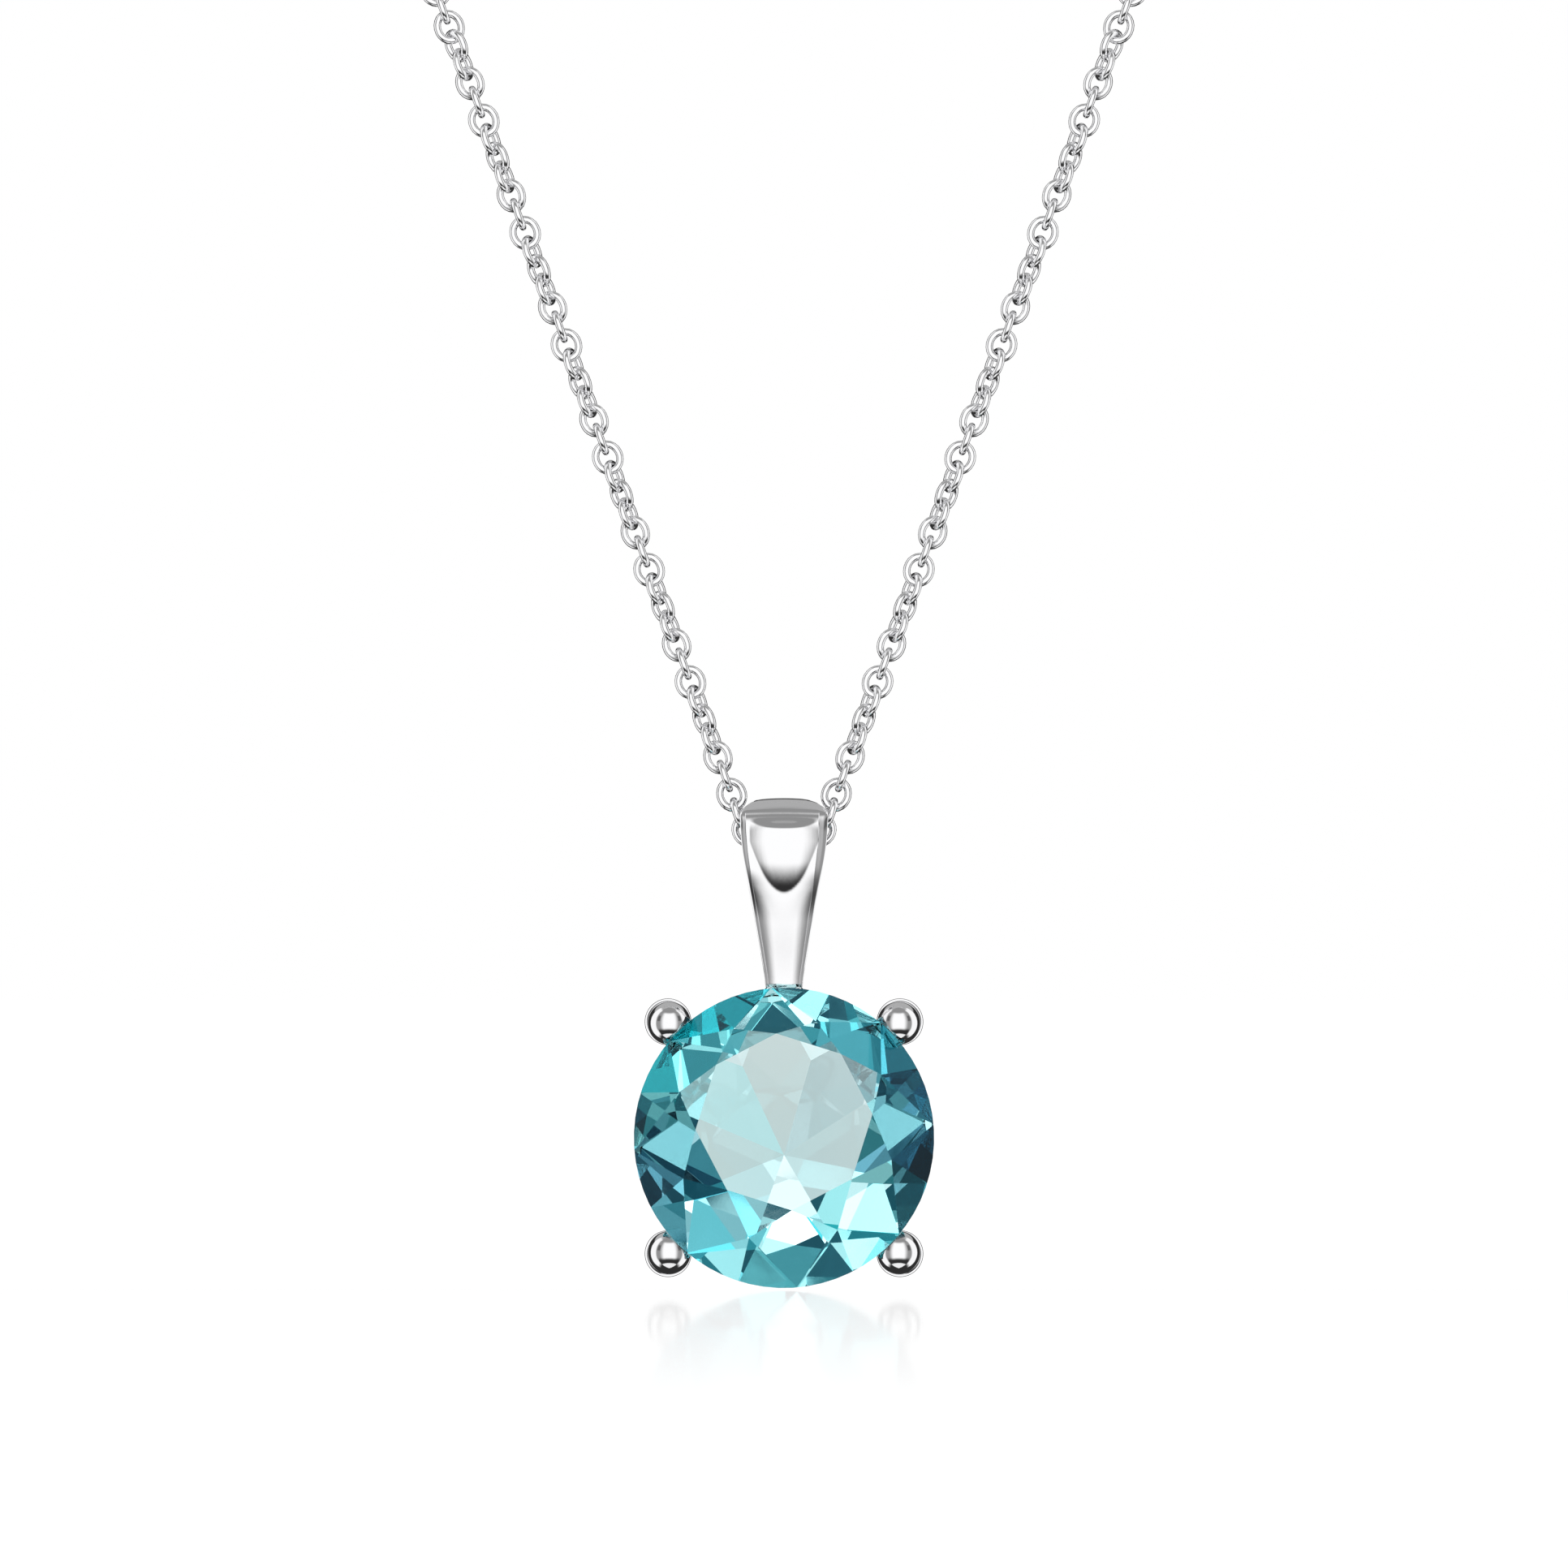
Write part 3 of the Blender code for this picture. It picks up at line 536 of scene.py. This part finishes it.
def clock_color(stops, across, rise):
    """The colour at a clock direction, between the nearest two stops."""
    clock = math.degrees(math.atan2(across, rise)) % 360
    places = [place for place, _ in stops]
    return np.array([np.interp(clock, places, [color[k] for _, color in stops]) for k in range(3)])


def crown_tint_and_painted_shade(place, depth):
    """The colour at a place on its crown: clear in the middle, and towards the rim its own blue-green with
    painted shade.
    """
    across = (place[0] - STONE[0]) / STONE_RADIUS
    rise = (place[2] - STONE[2]) / STONE_RADIUS
    share = smooth_step(RIM_PAINT_FROM, RIM_PAINT_FULL, math.hypot(across, rise))
    return (1 - share) + share * clock_color(RIM_TINT_AND_PAINTED_SHADE, across, rise) ** depth


def stone_material():
    """Clear blue-green stone: the colour deepens with the light's way through it."""
    made, nodes, links = new_material("blue_topaz")
    shader = nodes["Principled BSDF"]
    # Base colour from the mesh: the facets' tint, with painted light and shade
    facet_tint_and_painted_shade = nodes.new("ShaderNodeVertexColor")
    facet_tint_and_painted_shade.layer_name = "facet_tint_and_painted_shade"
    links.new(facet_tint_and_painted_shade.outputs["Color"], shader.inputs["Base Color"])
    shader.inputs["Transmission Weight"].default_value = 1.0
    shader.inputs["IOR"].default_value = STONE_IOR
    shader.inputs["Specular Tint"].default_value = (*STONE_SHINE, 1.0)
    place = nodes.new("ShaderNodeTexCoord").outputs["Object"]
    polish = noise(nodes, links, place, POLISH_SCALE)
    links.new(spread(nodes, links, polish, 0.0, 1.0, 0.0, STONE_ROUGHNESS), shader.inputs["Roughness"])
    depth = nodes.new("ShaderNodeVolumeAbsorption")
    depth.inputs["Color"].default_value = (*STONE_COLOR, 1.0)
    depth.inputs["Density"].default_value = STONE_DENSITY
    links.new(depth.outputs["Volume"], nodes["Material Output"].inputs["Volume"])
    return made


SILVER = polished_metal("polished_silver", (0.90, 0.90, 0.91), 0.03, 0.09, 0.25)
CHAIN_SILVER = polished_metal("chain_silver", (0.95, 0.95, 0.96), 0.08, 0.16, 0.35)
STEEL = polished_metal("spring_steel", (0.56, 0.57, 0.60), 0.2, 0.35, 0.4)
STONE_CLEAR = stone_material()

# ---------------------------------------------------------------- the chain


def route_half():
    """Points along the right half of the chain's centre line, from its lowest point."""
    lowest = HANG[2]
    rise = np.array([math.sin(V_HALF_ANGLE), 0, math.cos(V_HALF_ANGLE)])
    points = [np.array(HANG)]
    turn = math.pi / 2 - V_HALF_ANGLE
    for step in range(FILLET_STEPS + 1):
        angle = turn * step / FILLET_STEPS
        across = RUN_HALF + RUN_FILLET * math.sin(angle)
        points.append(np.array([across, -NECK_DEPTH, lowest + RUN_FILLET * (1 - math.cos(angle))]))
    top = points[-1] + LEG_LENGTH * rise
    nape = CHAIN_END_X * X
    first = top + LEG_PULL * rise
    second = nape + NAPE_PULL * X
    for step in range(NECK_STEPS + 1):
        t = step / NECK_STEPS
        rest = 1 - t
        points.append(rest**3 * top + 3 * t * rest**2 * first + 3 * t * t * rest * second + t**3 * nape)
    return np.array(points)


ROUTE = route_half()
ALONG = np.concatenate([[0.0], np.cumsum(np.linalg.norm(np.diff(ROUTE, axis=0), axis=1))])


def on_chain(distance, side):
    """The point at this distance along the chain from its lowest point. side is 1 for right, -1 for left."""
    x, y, z = (float(np.interp(distance, ALONG, ROUTE[:, axis])) for axis in range(3))
    return np.array([side * x, y, z])


def chain_frame(distance, side):
    """The chain's direction there, and the two directions across it."""
    ahead = on_chain(distance + AHEAD, side)
    behind = on_chain(distance - AHEAD, side) if distance > AHEAD else on_chain(AHEAD, -side)
    along = (ahead - behind) / np.linalg.norm(ahead - behind)
    across = np.cross(along, -Y)
    across /= np.linalg.norm(across)
    return along, across, np.cross(along, across)


def link(centre, along, wide):
    """One oval link of round wire: its long way is along, its short way wide."""
    through = np.cross(along, wide)
    half_length = 0.5 * (LINK_LENGTH - LINK_WIRE)
    half_width = 0.5 * (LINK_WIDTH - LINK_WIRE)
    points = []
    for turn in np.arange(LINK_SIDES) * 2 * math.pi / LINK_SIDES:
        middle = centre + half_length * math.cos(turn) * along + half_width * math.sin(turn) * wide
        out = half_width * math.cos(turn) * along + half_length * math.sin(turn) * wide
        out /= np.linalg.norm(out)
        points += list(circle(middle, 0.5 * LINK_WIRE, out, through, WIRE_SIDES))
    return points, grid_faces(LINK_SIDES, WIRE_SIDES, True, True)


def place_of(index):
    """A link's distance along the chain from the lowest point. The lower links share the shift to the hinge."""
    return index * LINK_PITCH + SWING_SHIFT * min(1.0, index / (DROP_LINKS[0] + 1))


def twist_of(index):
    """A link's turn about the chain's line, in degrees."""
    if index < len(BAIL_TWISTS):
        return BAIL_TWISTS[index]
    if index in HINGE_TWISTS:
        return HINGE_TWISTS[index]
    return LINK_TWISTS[(index - len(BAIL_TWISTS)) % len(LINK_TWISTS)]


def link_at(distance, side, degrees):
    """A link on the chain's line, turned about it."""
    along, across, normal = chain_frame(distance, side)
    twist = math.radians(degrees) * side
    return link(on_chain(distance, side), along, math.cos(twist) * across + math.sin(twist) * normal)


def add_links(name, links, body, node):
    """A piece of one link or of many."""
    add_piece(name, *merged(links), CHAIN_SILVER, body, [node], slot="chain_silver")


def make_chain():
    """Every link: single pieces at the bail, and one piece for each section of each side."""
    add_links("link_middle", [link_at(0, 1, twist_of(0))], "lower_drop", "chain_link_middle")
    end = float(ALONG[-1])
    swings = (LINKS_AT_BAIL, *DROP_LINKS)
    neck_first = DROP_LINKS[-1] + 1
    neck_start = place_of(neck_first)
    neck_links = round((end - neck_start) / LINK_PITCH)
    neck_pitch = (end - neck_start) / neck_links
    for side, hand in ((1, "right"), (-1, "left")):
        for index in range(1, LINKS_AT_BAIL + 1):
            links = [link_at(place_of(index), side, twist_of(index))]
            add_links(f"link_{hand}_{index}", links, "lower_drop", f"chain_link_{hand}_{index}")
        for name, first, last in zip(("lower", "middle", "upper"), swings, swings[1:]):
            links = [link_at(place_of(i), side, twist_of(i)) for i in range(first + 1, last + 1)]
            add_links(f"links_{name}_{hand}", links, f"{name}_drop", f"chain_{name}_{hand}")
        end_twist = 90 if side > 0 else 0
        sections = ("shoulder", "side", "nape")
        for k, name in enumerate(sections):
            links = []
            for i in range(neck_links * k // len(sections), neck_links * (k + 1) // len(sections)):
                left = neck_links - i
                degrees = twist_of(neck_first + i) if left > LINKS_AT_CLASP else end_twist + 90 * (left % 2)
                links.append(link_at(neck_start + i * neck_pitch, side, degrees))
            add_links(f"links_{name}_{hand}", links, "neck_chain", f"chain_{name}_{hand}")
        end_link = link(np.array([side * CHAIN_END_X, 0, 0]), X, Y if side > 0 else Z)
        add_links(f"link_end_{hand}", [end_link], "neck_chain", f"chain_link_end_{hand}")


# ---------------------------------------------------------------- the bail


def closed_curve(keys, steps):
    """Points on the closed Catmull-Rom curve through the keys."""
    keys = np.array(keys, float)
    count = len(keys)
    rows = []
    for i in range(count):
        a, b, c, d = (keys[(i + k) % count] for k in (-1, 0, 1, 2))
        once, twice, thrice = c - a, 2 * a - 5 * b + 4 * c - d, 3 * b - a - 3 * c + d
        for step in range(steps):
            t = step / steps
            rows.append(0.5 * (2 * b + once * t + twice * t * t + thrice * t**3))
    return np.array(rows)


def bulge(across, height):
    """How far the front's upper swelling stands over the strap, in mm. Its lower edge is a crisp parabola."""
    if height <= BULGE_TIP:
        return 0.0
    wide = min(BULGE_HALF, math.sqrt((height - BULGE_TIP) / BULGE_SPREAD))
    rise = BULGE_RISE * (1 - (1 - min(1.0, (height - BULGE_TIP) / BULGE_LENGTH)) ** 2)
    rise *= 1 - smooth_step(BULGE_TOP - BULGE_FADE, BULGE_TOP + BULGE_FADE, height)
    return rise * max(0.0, 1 - (across / wide) ** 2)


def bail_row(y, z, half, thick):
    """Points round one section, as (x, depth) pairs. Depth is the way inwards from the strap's outer line."""
    front = y < FRONT_BEFORE
    up = smooth_step(*RIM_CHANGE, z)
    left, right = (min(foot + (top - foot) * up, RIM_MOST * half) for foot, top in (RIM_LEFT, RIM_RIGHT))
    over_top = smooth_step(*TOP_CHANGE, z)
    dome = BAIL_DOME + (BAIL_DOME_HIGH - BAIL_DOME) * smooth_step(*DOME_CHANGE, z)
    sunk = PANEL_SUNK * (1 - smooth_step(PANEL_TOP - PANEL_FADE, PANEL_TOP + PANEL_FADE, z)) if front else 0.0
    fall = RIM_FALL * (1 - RIM_FALL_LOST * over_top)
    panel = np.linspace(left - half + PANEL_INSET, half - right - PANEL_INSET, PANEL_POINTS)

    def rim_point(x, inner, width):
        out = abs(x - inner)
        return x, dome * inner**2 / half + fall * out + (LIP_FALL if out > LIP_FROM * width else 0.0)

    row = [rim_point(x, left - half, left) for x in left * RIM_POINTS - half]
    row += [(x, dome * x**2 / half + sunk - (bulge(x, z) if front else 0.0)) for x in panel]
    row += [rim_point(x, half - right, right) for x in half - right * RIM_POINTS[::-1]]
    shares = np.linspace(INNER_EDGE, -INNER_EDGE, INNER_POINTS)
    return row + [(half * share, thick + INNER_DOME * half * share**2) for share in shares]


def make_bail():
    """The strap as a loft. Its outer face is domed between flat rims, and swells at the top of the front."""
    rows = closed_curve(BAIL_SECTIONS, BAIL_STEPS)
    path = rows[:, :2]
    ways = np.roll(path, -1, axis=0) - np.roll(path, 1, axis=0)
    ways /= np.linalg.norm(ways, axis=1)[:, None]
    inward = np.column_stack([-ways[:, 1], ways[:, 0]])
    origin = np.array([0, HANG[1], STONE[2]])
    points = []
    for section, (in_y, in_z) in zip(rows, inward):
        y, z = section[:2]
        row = bail_row(*section)
        points += [origin + np.array([x, y + in_y * depth, z + in_z * depth]) * MM for x, depth in row]
    add_piece("bail_strap", points, grid_faces(len(rows), len(row), True, True), SILVER, "bail", ["bail"])


# ---------------------------------------------------------------- the basket


def make_seat():
    """The space kept clear for the stone: its cylinder and the cone behind it."""
    places = (SEAT_FRONT, 0.0, GIRDLE_BACK + SEAT_GAP, GIRDLE_BACK + PAVILION_DEPTH)
    radii = (STONE_RADIUS + SEAT_GAP,) * 3 + (SEAT_TIP,)
    return tube([STONE + place * Y for place in places], radii, SEAT_SIDES)


def make_prongs():
    """Each prong: a polished ball in a thin collar, on a tapered shaft that leans in to the base rail."""
    seat = make_seat()
    for name, degrees in (("upper_right", 45), ("upper_left", 135), ("lower_left", 225), ("lower_right", 315)):
        angle = math.radians(degrees)
        out = math.cos(angle) * X + math.sin(angle) * Z
        front = STONE + PRONG_RADIUS * out + BALL_Y * Y
        back = STONE + PRONG_BACK_RADIUS * out + BASKET_DEPTH * Y
        steps = np.linspace(0.0, 1.0, SHAFT_STEPS)
        path = [front + (back - front) * t for t in steps]
        radii = SHAFT_FRONT_RADIUS + (SHAFT_BACK_RADIUS - SHAFT_FRONT_RADIUS) * steps
        collar_profile = [(COLLAR_RADIUS - inset * MM, behind * MM) for inset, behind in COLLAR_SECTION]
        collar = turned(collar_profile, front + COLLAR_SHIFT * out, Y, np.cross(Y, out), COLLAR_SIDES)
        solids = (tube(path, radii, SHAFT_SIDES), ball(front, BALL_RADIUS, -Y, *BALL_POINTS), collar)
        cut = [combined(solid, ("DIFFERENCE", seat)) for solid in solids]
        add_piece(f"prong_piece_{name}", *merged(cut), SILVER, "setting", [f"prong_{name}"])


def make_rails():
    """The gallery wire, the ring at the back, and the loop that hangs in the bail."""
    centre = STONE + GALLERY_Y * Y
    rail_path = circle(centre, GALLERY_RADIUS, X, Z, RAIL_POINTS)
    round_wire = tube(rail_path, GALLERY_WIRE, GALLERY_SIDES, closed=True)
    add_piece("gallery_wire", *round_wire, SILVER, "setting", ["gallery_rail"])
    bevel, inner, outer = BASE_BEVEL, BASE_INNER, BASE_OUTER
    low, high = BASKET_DEPTH - BASE_THICKNESS, BASKET_DEPTH
    profile = (
        (inner, low + bevel),
        (inner, high - bevel),
        (inner + bevel, high),
        (outer - bevel, high),
        (outer, high - bevel),
        (outer, low + bevel),
        (outer - bevel, low),
        (inner + bevel, low),
    )
    add_piece("base_ring", *turned(profile, STONE, Y, X, RAIL_POINTS), SILVER, "setting", ["base_rail"])
    up = math.cos(LOOP_LEAN) * Z - math.sin(LOOP_LEAN) * Y
    middle = STONE + STONE_AHEAD * Y + PIVOT_HEIGHT * Z - LOOP_RADIUS * up
    arch = list(circle(middle, LOOP_RADIUS, X, up, LOOP_POINTS, 0, 180, closed=False))
    path = [arch[0] - LOOP_FOOT * up, *arch, arch[-1] - LOOP_FOOT * up]
    add_piece("hanging_loop", *tube(path, LOOP_WIRE, LOOP_SIDES), SILVER, "setting", ["setting_loop"])


def make_stone():
    """The cut stone, with flat facets, each with a colour: a plain tint, with painted light and shade on the
    crown and on the large facets behind the table.
    """
    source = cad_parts["gem"]
    bm = bmesh.new()
    bm.from_mesh(source.data)
    bmesh.ops.remove_doubles(bm, verts=bm.verts, dist=SAME_POINT)
    bmesh.ops.dissolve_limit(bm, angle_limit=FLAT_ANGLE, verts=bm.verts, edges=bm.edges)
    mesh = bpy.data.meshes.new("cut_stone")
    bm.to_mesh(mesh)
    bm.free()
    mesh.shade_flat()
    mesh.materials.append(STONE_CLEAR)
    tints_and_painted_shade = mesh.color_attributes.new("facet_tint_and_painted_shade", "FLOAT_COLOR", "CORNER")
    culet = max(mesh.vertices, key=lambda vertex: vertex.co.y)
    crown = [face for face in mesh.polygons if face.normal.y < CROWN_BEFORE]
    crown.sort(key=lambda face: math.atan2(face.center.x - STONE[0], face.center.z - STONE[2]))
    for face in mesh.polygons:
        if face in crown:
            kite = len(face.vertices) == 4
            # Painted shade: deep and pale by turns on the rim facets, light on the kites
            depth = KITE_PAINTED_SHADE_DEPTH if kite else PAINTED_SHADE_DEPTHS[crown.index(face) % len(PAINTED_SHADE_DEPTHS)]
            color = crown_tint_and_painted_shade(face.center, depth)
        elif culet.index in face.vertices:
            # Painted light and shade on the large facets round the culet
            color = clock_color(WEDGE_PAINTED_LIGHT, face.center.x - culet.co.x, face.center.z - culet.co.z)
        else:
            color = BACK_COLOR
        for corner in face.loop_indices:
            tints_and_painted_shade.data[corner].color = (*color, 1.0)
    piece = bpy.data.objects.new("cut_stone", mesh)
    bpy.context.scene.collection.objects.link(piece)
    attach(piece, "setting")
    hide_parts("gem")


# ---------------------------------------------------------------- the clasp


def clasp_arc(start, stop, count, radius=CLASP_RADIUS):
    """Points on an arc round the clasp's centre."""
    return circle(np.zeros(3), radius, X, Z, count, start, stop, closed=False)


def ring_piece(name, node, wire, split=0.0):
    """A ring of round wire in the place of a CAD ring, with a hairline cut if it is one that opens."""
    low, high = (np.array(corner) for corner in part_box(node))
    size = high - low
    flat = int(np.argmin(size))
    first, second = (axis for k, axis in enumerate((X, Y, Z)) if k != flat)
    radius = 0.5 * float(np.sort(size)[1:].mean()) - wire
    start, stop = SPLIT_AT + split, SPLIT_AT + 360 - split
    path = circle((low + high) / 2, radius, first, second, RING_STEPS, start, stop, closed=not split)
    points, faces = tube(path, wire, RING_SIDES, closed=not split)
    add_piece(name, points, faces, SILVER, "neck_chain", [node])


def make_clasp():
    """Hollow ring, bolt with its thumb knob, return spring, and the rings that join it to the chain."""
    body = tube(clasp_arc(GAP_TO, 360 + GAP_FROM, BODY_STEPS), CLASP_TUBE, BODY_SIDES)
    bore_path = clasp_arc(GAP_TO - BORE_PAST, 360 + GAP_FROM + BORE_PAST, BORE_STEPS)
    bore = tube(bore_path, CLASP_BORE, BORE_SIDES)
    slot_path = clasp_arc(KNOB_AT - SLOT_PAST, KNOB_AT + BOLT_OPENS + SLOT_PAST, SLOT_STEPS, SLOT_OUT)
    slot = tube(slot_path, SLOT_RADIUS, SLOT_SIDES)
    hollow = combined(body, ("DIFFERENCE", bore), ("DIFFERENCE", slot))
    add_piece("clasp_ring", *hollow, SILVER, "neck_chain", ["clasp_body"], angle=30)
    rod_path = clasp_arc(GAP_FROM - BOLT_PAST, BOLT_TO, BOLT_STEPS)
    taper = np.minimum(1.0, TIP_SHARE + (1 - TIP_SHARE) * np.arange(BOLT_STEPS) / TIP_STEPS)
    knob_way = math.cos(math.radians(KNOB_AT)) * X + math.sin(math.radians(KNOB_AT)) * Z
    stem_places = (CLASP_RADIUS, 0.5 * (CLASP_RADIUS + KNOB_OUT), KNOB_OUT)
    stem = tube([place * knob_way for place in stem_places], KNOB_STEM, STEM_SIDES)
    knob = ball(KNOB_OUT * knob_way, KNOB_RADIUS, knob_way, *KNOB_POINTS)
    bolt = combined(tube(rod_path, BOLT_WIRE * taper, BOLT_SIDES), ("UNION", stem), ("UNION", knob))
    add_piece("clasp_bolt_rod", *bolt, SILVER, "clasp_bolt", ["clasp_bolt"])
    turns = np.arange(SPRING_TURNS * SPRING_POINTS + 1) * 2 * math.pi / SPRING_POINTS
    swept = np.radians(np.linspace(SPRING_FROM, SPRING_TO, len(turns)))
    out = np.outer(np.cos(swept), X) + np.outer(np.sin(swept), Z)
    coil = CLASP_RADIUS * out + SPRING_RADIUS * (np.cos(turns)[:, None] * out + np.outer(np.sin(turns), Y))
    spring = tube(coil, SPRING_WIRE, SPRING_SIDES)
    piece = add_piece("return_spring", *spring, STEEL, "neck_chain", ["clasp_spring"], slot="spring_steel")
    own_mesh(piece)
    ring_piece("eye_ring", "clasp_eye", RING_WIRE)
    ring_piece("jump_ring", "clasp_jump_ring", RING_WIRE, split=RING_SPLIT)
    ring_piece("catch_ring", "end_ring", END_RING_WIRE)
    ring_piece("end_jump_ring_wire", "end_jump_ring", RING_WIRE, split=RING_SPLIT)


# ---------------------------------------------------------------- stage


def make_stage():
    """A white floor. It shows a faint soft reflection, and lets the studio light the object from below."""
    floor_z = STONE[2] - FLOOR_DROP
    made, nodes, links = new_material("white_floor")
    nodes.remove(nodes["Principled BSDF"])
    white = nodes.new("ShaderNodeEmission")
    white.inputs["Strength"].default_value = FLOOR_WHITE
    gloss = nodes.new("ShaderNodeBsdfGlossy")
    gloss.inputs["Roughness"].default_value = FLOOR_ROUGHNESS
    place = nodes.new("ShaderNodeTexCoord")
    split = nodes.new("ShaderNodeSeparateXYZ")
    links.new(place.outputs["Object"], split.inputs["Vector"])
    near = nodes.new("ShaderNodeMath")
    near.operation = "LESS_THAN"
    near.inputs[1].default_value = HANG[1] + GLOSS_BEHIND
    links.new(split.outputs["Y"], near.inputs[0])
    share = nodes.new("ShaderNodeMath")
    share.operation = "MULTIPLY"
    fade = spread(nodes, links, split.outputs["Y"], HANG[1] - GLOSS_REACH, HANG[1], 0.0, FLOOR_GLOSS)
    links.new(fade, share.inputs[0])
    links.new(near.outputs[0], share.inputs[1])
    surface = nodes.new("ShaderNodeMixShader")
    links.new(share.outputs[0], surface.inputs["Fac"])
    links.new(white.outputs[0], surface.inputs[1])
    links.new(gloss.outputs[0], surface.inputs[2])
    clear = nodes.new("ShaderNodeBsdfTransparent")
    seen = nodes.new("ShaderNodeLightPath")
    mix = nodes.new("ShaderNodeMixShader")
    links.new(seen.outputs["Is Camera Ray"], mix.inputs["Fac"])
    links.new(clear.outputs[0], mix.inputs[1])
    links.new(surface.outputs[0], mix.inputs[2])
    links.new(mix.outputs[0], nodes["Material Output"].inputs["Surface"])
    mesh = bpy.data.meshes.new("floor")
    signs = ((-1, -1), (1, -1), (1, 1), (-1, 1))
    corners = [(x * FLOOR_HALF, HANG[1] + y * FLOOR_HALF, floor_z) for x, y in signs]
    mesh.from_pydata(corners, [], [(0, 1, 2, 3)])
    mesh.materials.append(made)
    floor = bpy.data.objects.new("floor", mesh)
    bpy.context.scene.collection.objects.link(floor)


def make_world():
    """White to the eye. What the metal and the stone mirror is a studio: panels of light with dark gaps."""
    world = bpy.data.worlds.new("studio")
    bpy.context.scene.world = world
    world.use_nodes = True
    nodes, links = world.node_tree.nodes, world.node_tree.links
    nodes.clear()

    def math_node(operation, first, second=None):
        """The result for one or two values, each a number or a socket."""
        node = nodes.new("ShaderNodeMath")
        node.operation = operation
        for socket, value in zip(node.inputs, (first, second)):
            if isinstance(value, (int, float)):
                socket.default_value = value
            elif value is not None:
                links.new(value, socket)
        return node.outputs[0]

    def edge(value, low, high):
        """0 below low, 1 above high. With low over high it falls instead."""
        node = nodes.new("ShaderNodeMapRange")
        node.interpolation_type = "SMOOTHSTEP"
        links.new(value, node.inputs["Value"])
        if low < high:
            node.inputs["From Min"].default_value = low
            node.inputs["From Max"].default_value = high
        else:
            node.inputs["From Min"].default_value = high
            node.inputs["From Max"].default_value = low
            node.inputs["To Min"].default_value = 1.0
            node.inputs["To Max"].default_value = 0.0
        return node.outputs["Result"]

    place = nodes.new("ShaderNodeTexCoord")
    split = nodes.new("ShaderNodeSeparateXYZ")
    links.new(place.outputs["Generated"], split.inputs["Vector"])
    towards = math_node("MULTIPLY", split.outputs["Y"], -1.0)
    azimuth = math_node("MULTIPLY", math_node("ARCTAN2", split.outputs["X"], towards), 180 / math.pi)
    elevation = math_node("MULTIPLY", math_node("ARCSINE", split.outputs["Z"]), 180 / math.pi)
    light = WORLD_DARK
    for (left, right), (bottom, top), bright, (soft_left, soft_right, soft_bottom, soft_top) in PANELS:
        across = math_node(
            "MULTIPLY", edge(azimuth, left - soft_left, left), edge(azimuth, right + soft_right, right)
        )
        upright = math_node(
            "MULTIPLY", edge(elevation, bottom - soft_bottom, bottom), edge(elevation, top + soft_top, top)
        )
        share = math_node("MULTIPLY", across, upright)
        change = math_node("MULTIPLY", share, math_node("SUBTRACT", bright, light))
        light = math_node("ADD", light, change)
    rear = edge(split.outputs["Y"], *REAR_EDGE)
    change = math_node("MULTIPLY", rear, math_node("SUBTRACT", REAR_LIGHT, light))
    light = math_node("ADD", light, change)

    def cells(scale, palette):
        """Patches of directions in the palette's colours, each (from, colour)."""
        shift = nodes.new("ShaderNodeMapping")
        shift.inputs["Location"].default_value = GLINT_SHIFT
        links.new(place.outputs["Generated"], shift.inputs["Vector"])
        patches = nodes.new("ShaderNodeTexVoronoi")
        patches.inputs["Scale"].default_value = scale
        links.new(shift.outputs["Vector"], patches.inputs["Vector"])
        red = nodes.new("ShaderNodeSeparateColor")
        links.new(patches.outputs["Color"], red.inputs["Color"])
        colors = nodes.new("ShaderNodeValToRGB")
        colors.color_ramp.interpolation = "CONSTANT"
        stops = colors.color_ramp.elements
        while len(stops) < len(palette):
            stops.new(0.5)
        for stop, (start, color) in zip(stops, palette):
            stop.position = start
            stop.color = (*color, 1.0)
        links.new(red.outputs["Red"], colors.inputs["Fac"])
        return colors.outputs["Color"]

    def blend(share, first, second):
        """The first colour where the share is 0, and the second where it is 1."""
        node = nodes.new("ShaderNodeMix")
        node.data_type = "RGBA"
        links.new(share, node.inputs["Factor"])
        links.new(first, node.inputs["A"])
        links.new(second, node.inputs["B"])
        return node.outputs["Result"]

    backwards = edge(split.outputs["Y"], *THROUGH_EDGE)
    through = blend(backwards, cells(GLINT_SCALE, GLINTS), cells(WINDOW_SCALE, WINDOW))
    seen = nodes.new("ShaderNodeLightPath")
    grey = nodes.new("ShaderNodeCombineColor")
    for channel in ("Red", "Green", "Blue"):
        links.new(light, grey.inputs[channel])
    studio = nodes.new("ShaderNodeBackground")
    color = blend(seen.outputs["Is Transmission Ray"], grey.outputs["Color"], through)
    links.new(color, studio.inputs["Color"])
    plain = nodes.new("ShaderNodeBackground")
    plain.inputs["Color"].default_value = (1.0, 1.0, 1.0, 1.0)
    mix = nodes.new("ShaderNodeMixShader")
    links.new(seen.outputs["Is Camera Ray"], mix.inputs["Fac"])
    links.new(studio.outputs[0], mix.inputs[1])
    links.new(plain.outputs[0], mix.inputs[2])
    out = nodes.new("ShaderNodeOutputWorld")
    links.new(mix.outputs[0], out.inputs["Surface"])


def make_camera():
    """The photograph's view: from straight in front, a little above the pendant."""
    data = bpy.data.cameras.new("camera")
    data.sensor_width = 36.0
    data.lens = data.sensor_width * VIEW_DISTANCE / VIEW_WIDTH
    data.clip_start = 0.01
    data.clip_end = 20.0
    camera = bpy.data.objects.new("camera", data)
    bpy.context.scene.collection.objects.link(camera)
    camera.location = (0.0, STONE[1] - VIEW_DISTANCE, STONE[2] + VIEW_RISE)
    camera.rotation_euler = (math.pi / 2, 0.0, 0.0)
    bpy.context.scene.camera = camera
    bpy.context.scene.view_settings.view_transform = "Standard"


make_chain()
make_bail()
make_prongs()
make_rails()
make_stone()
make_clasp()
make_stage()
make_world()
make_camera()
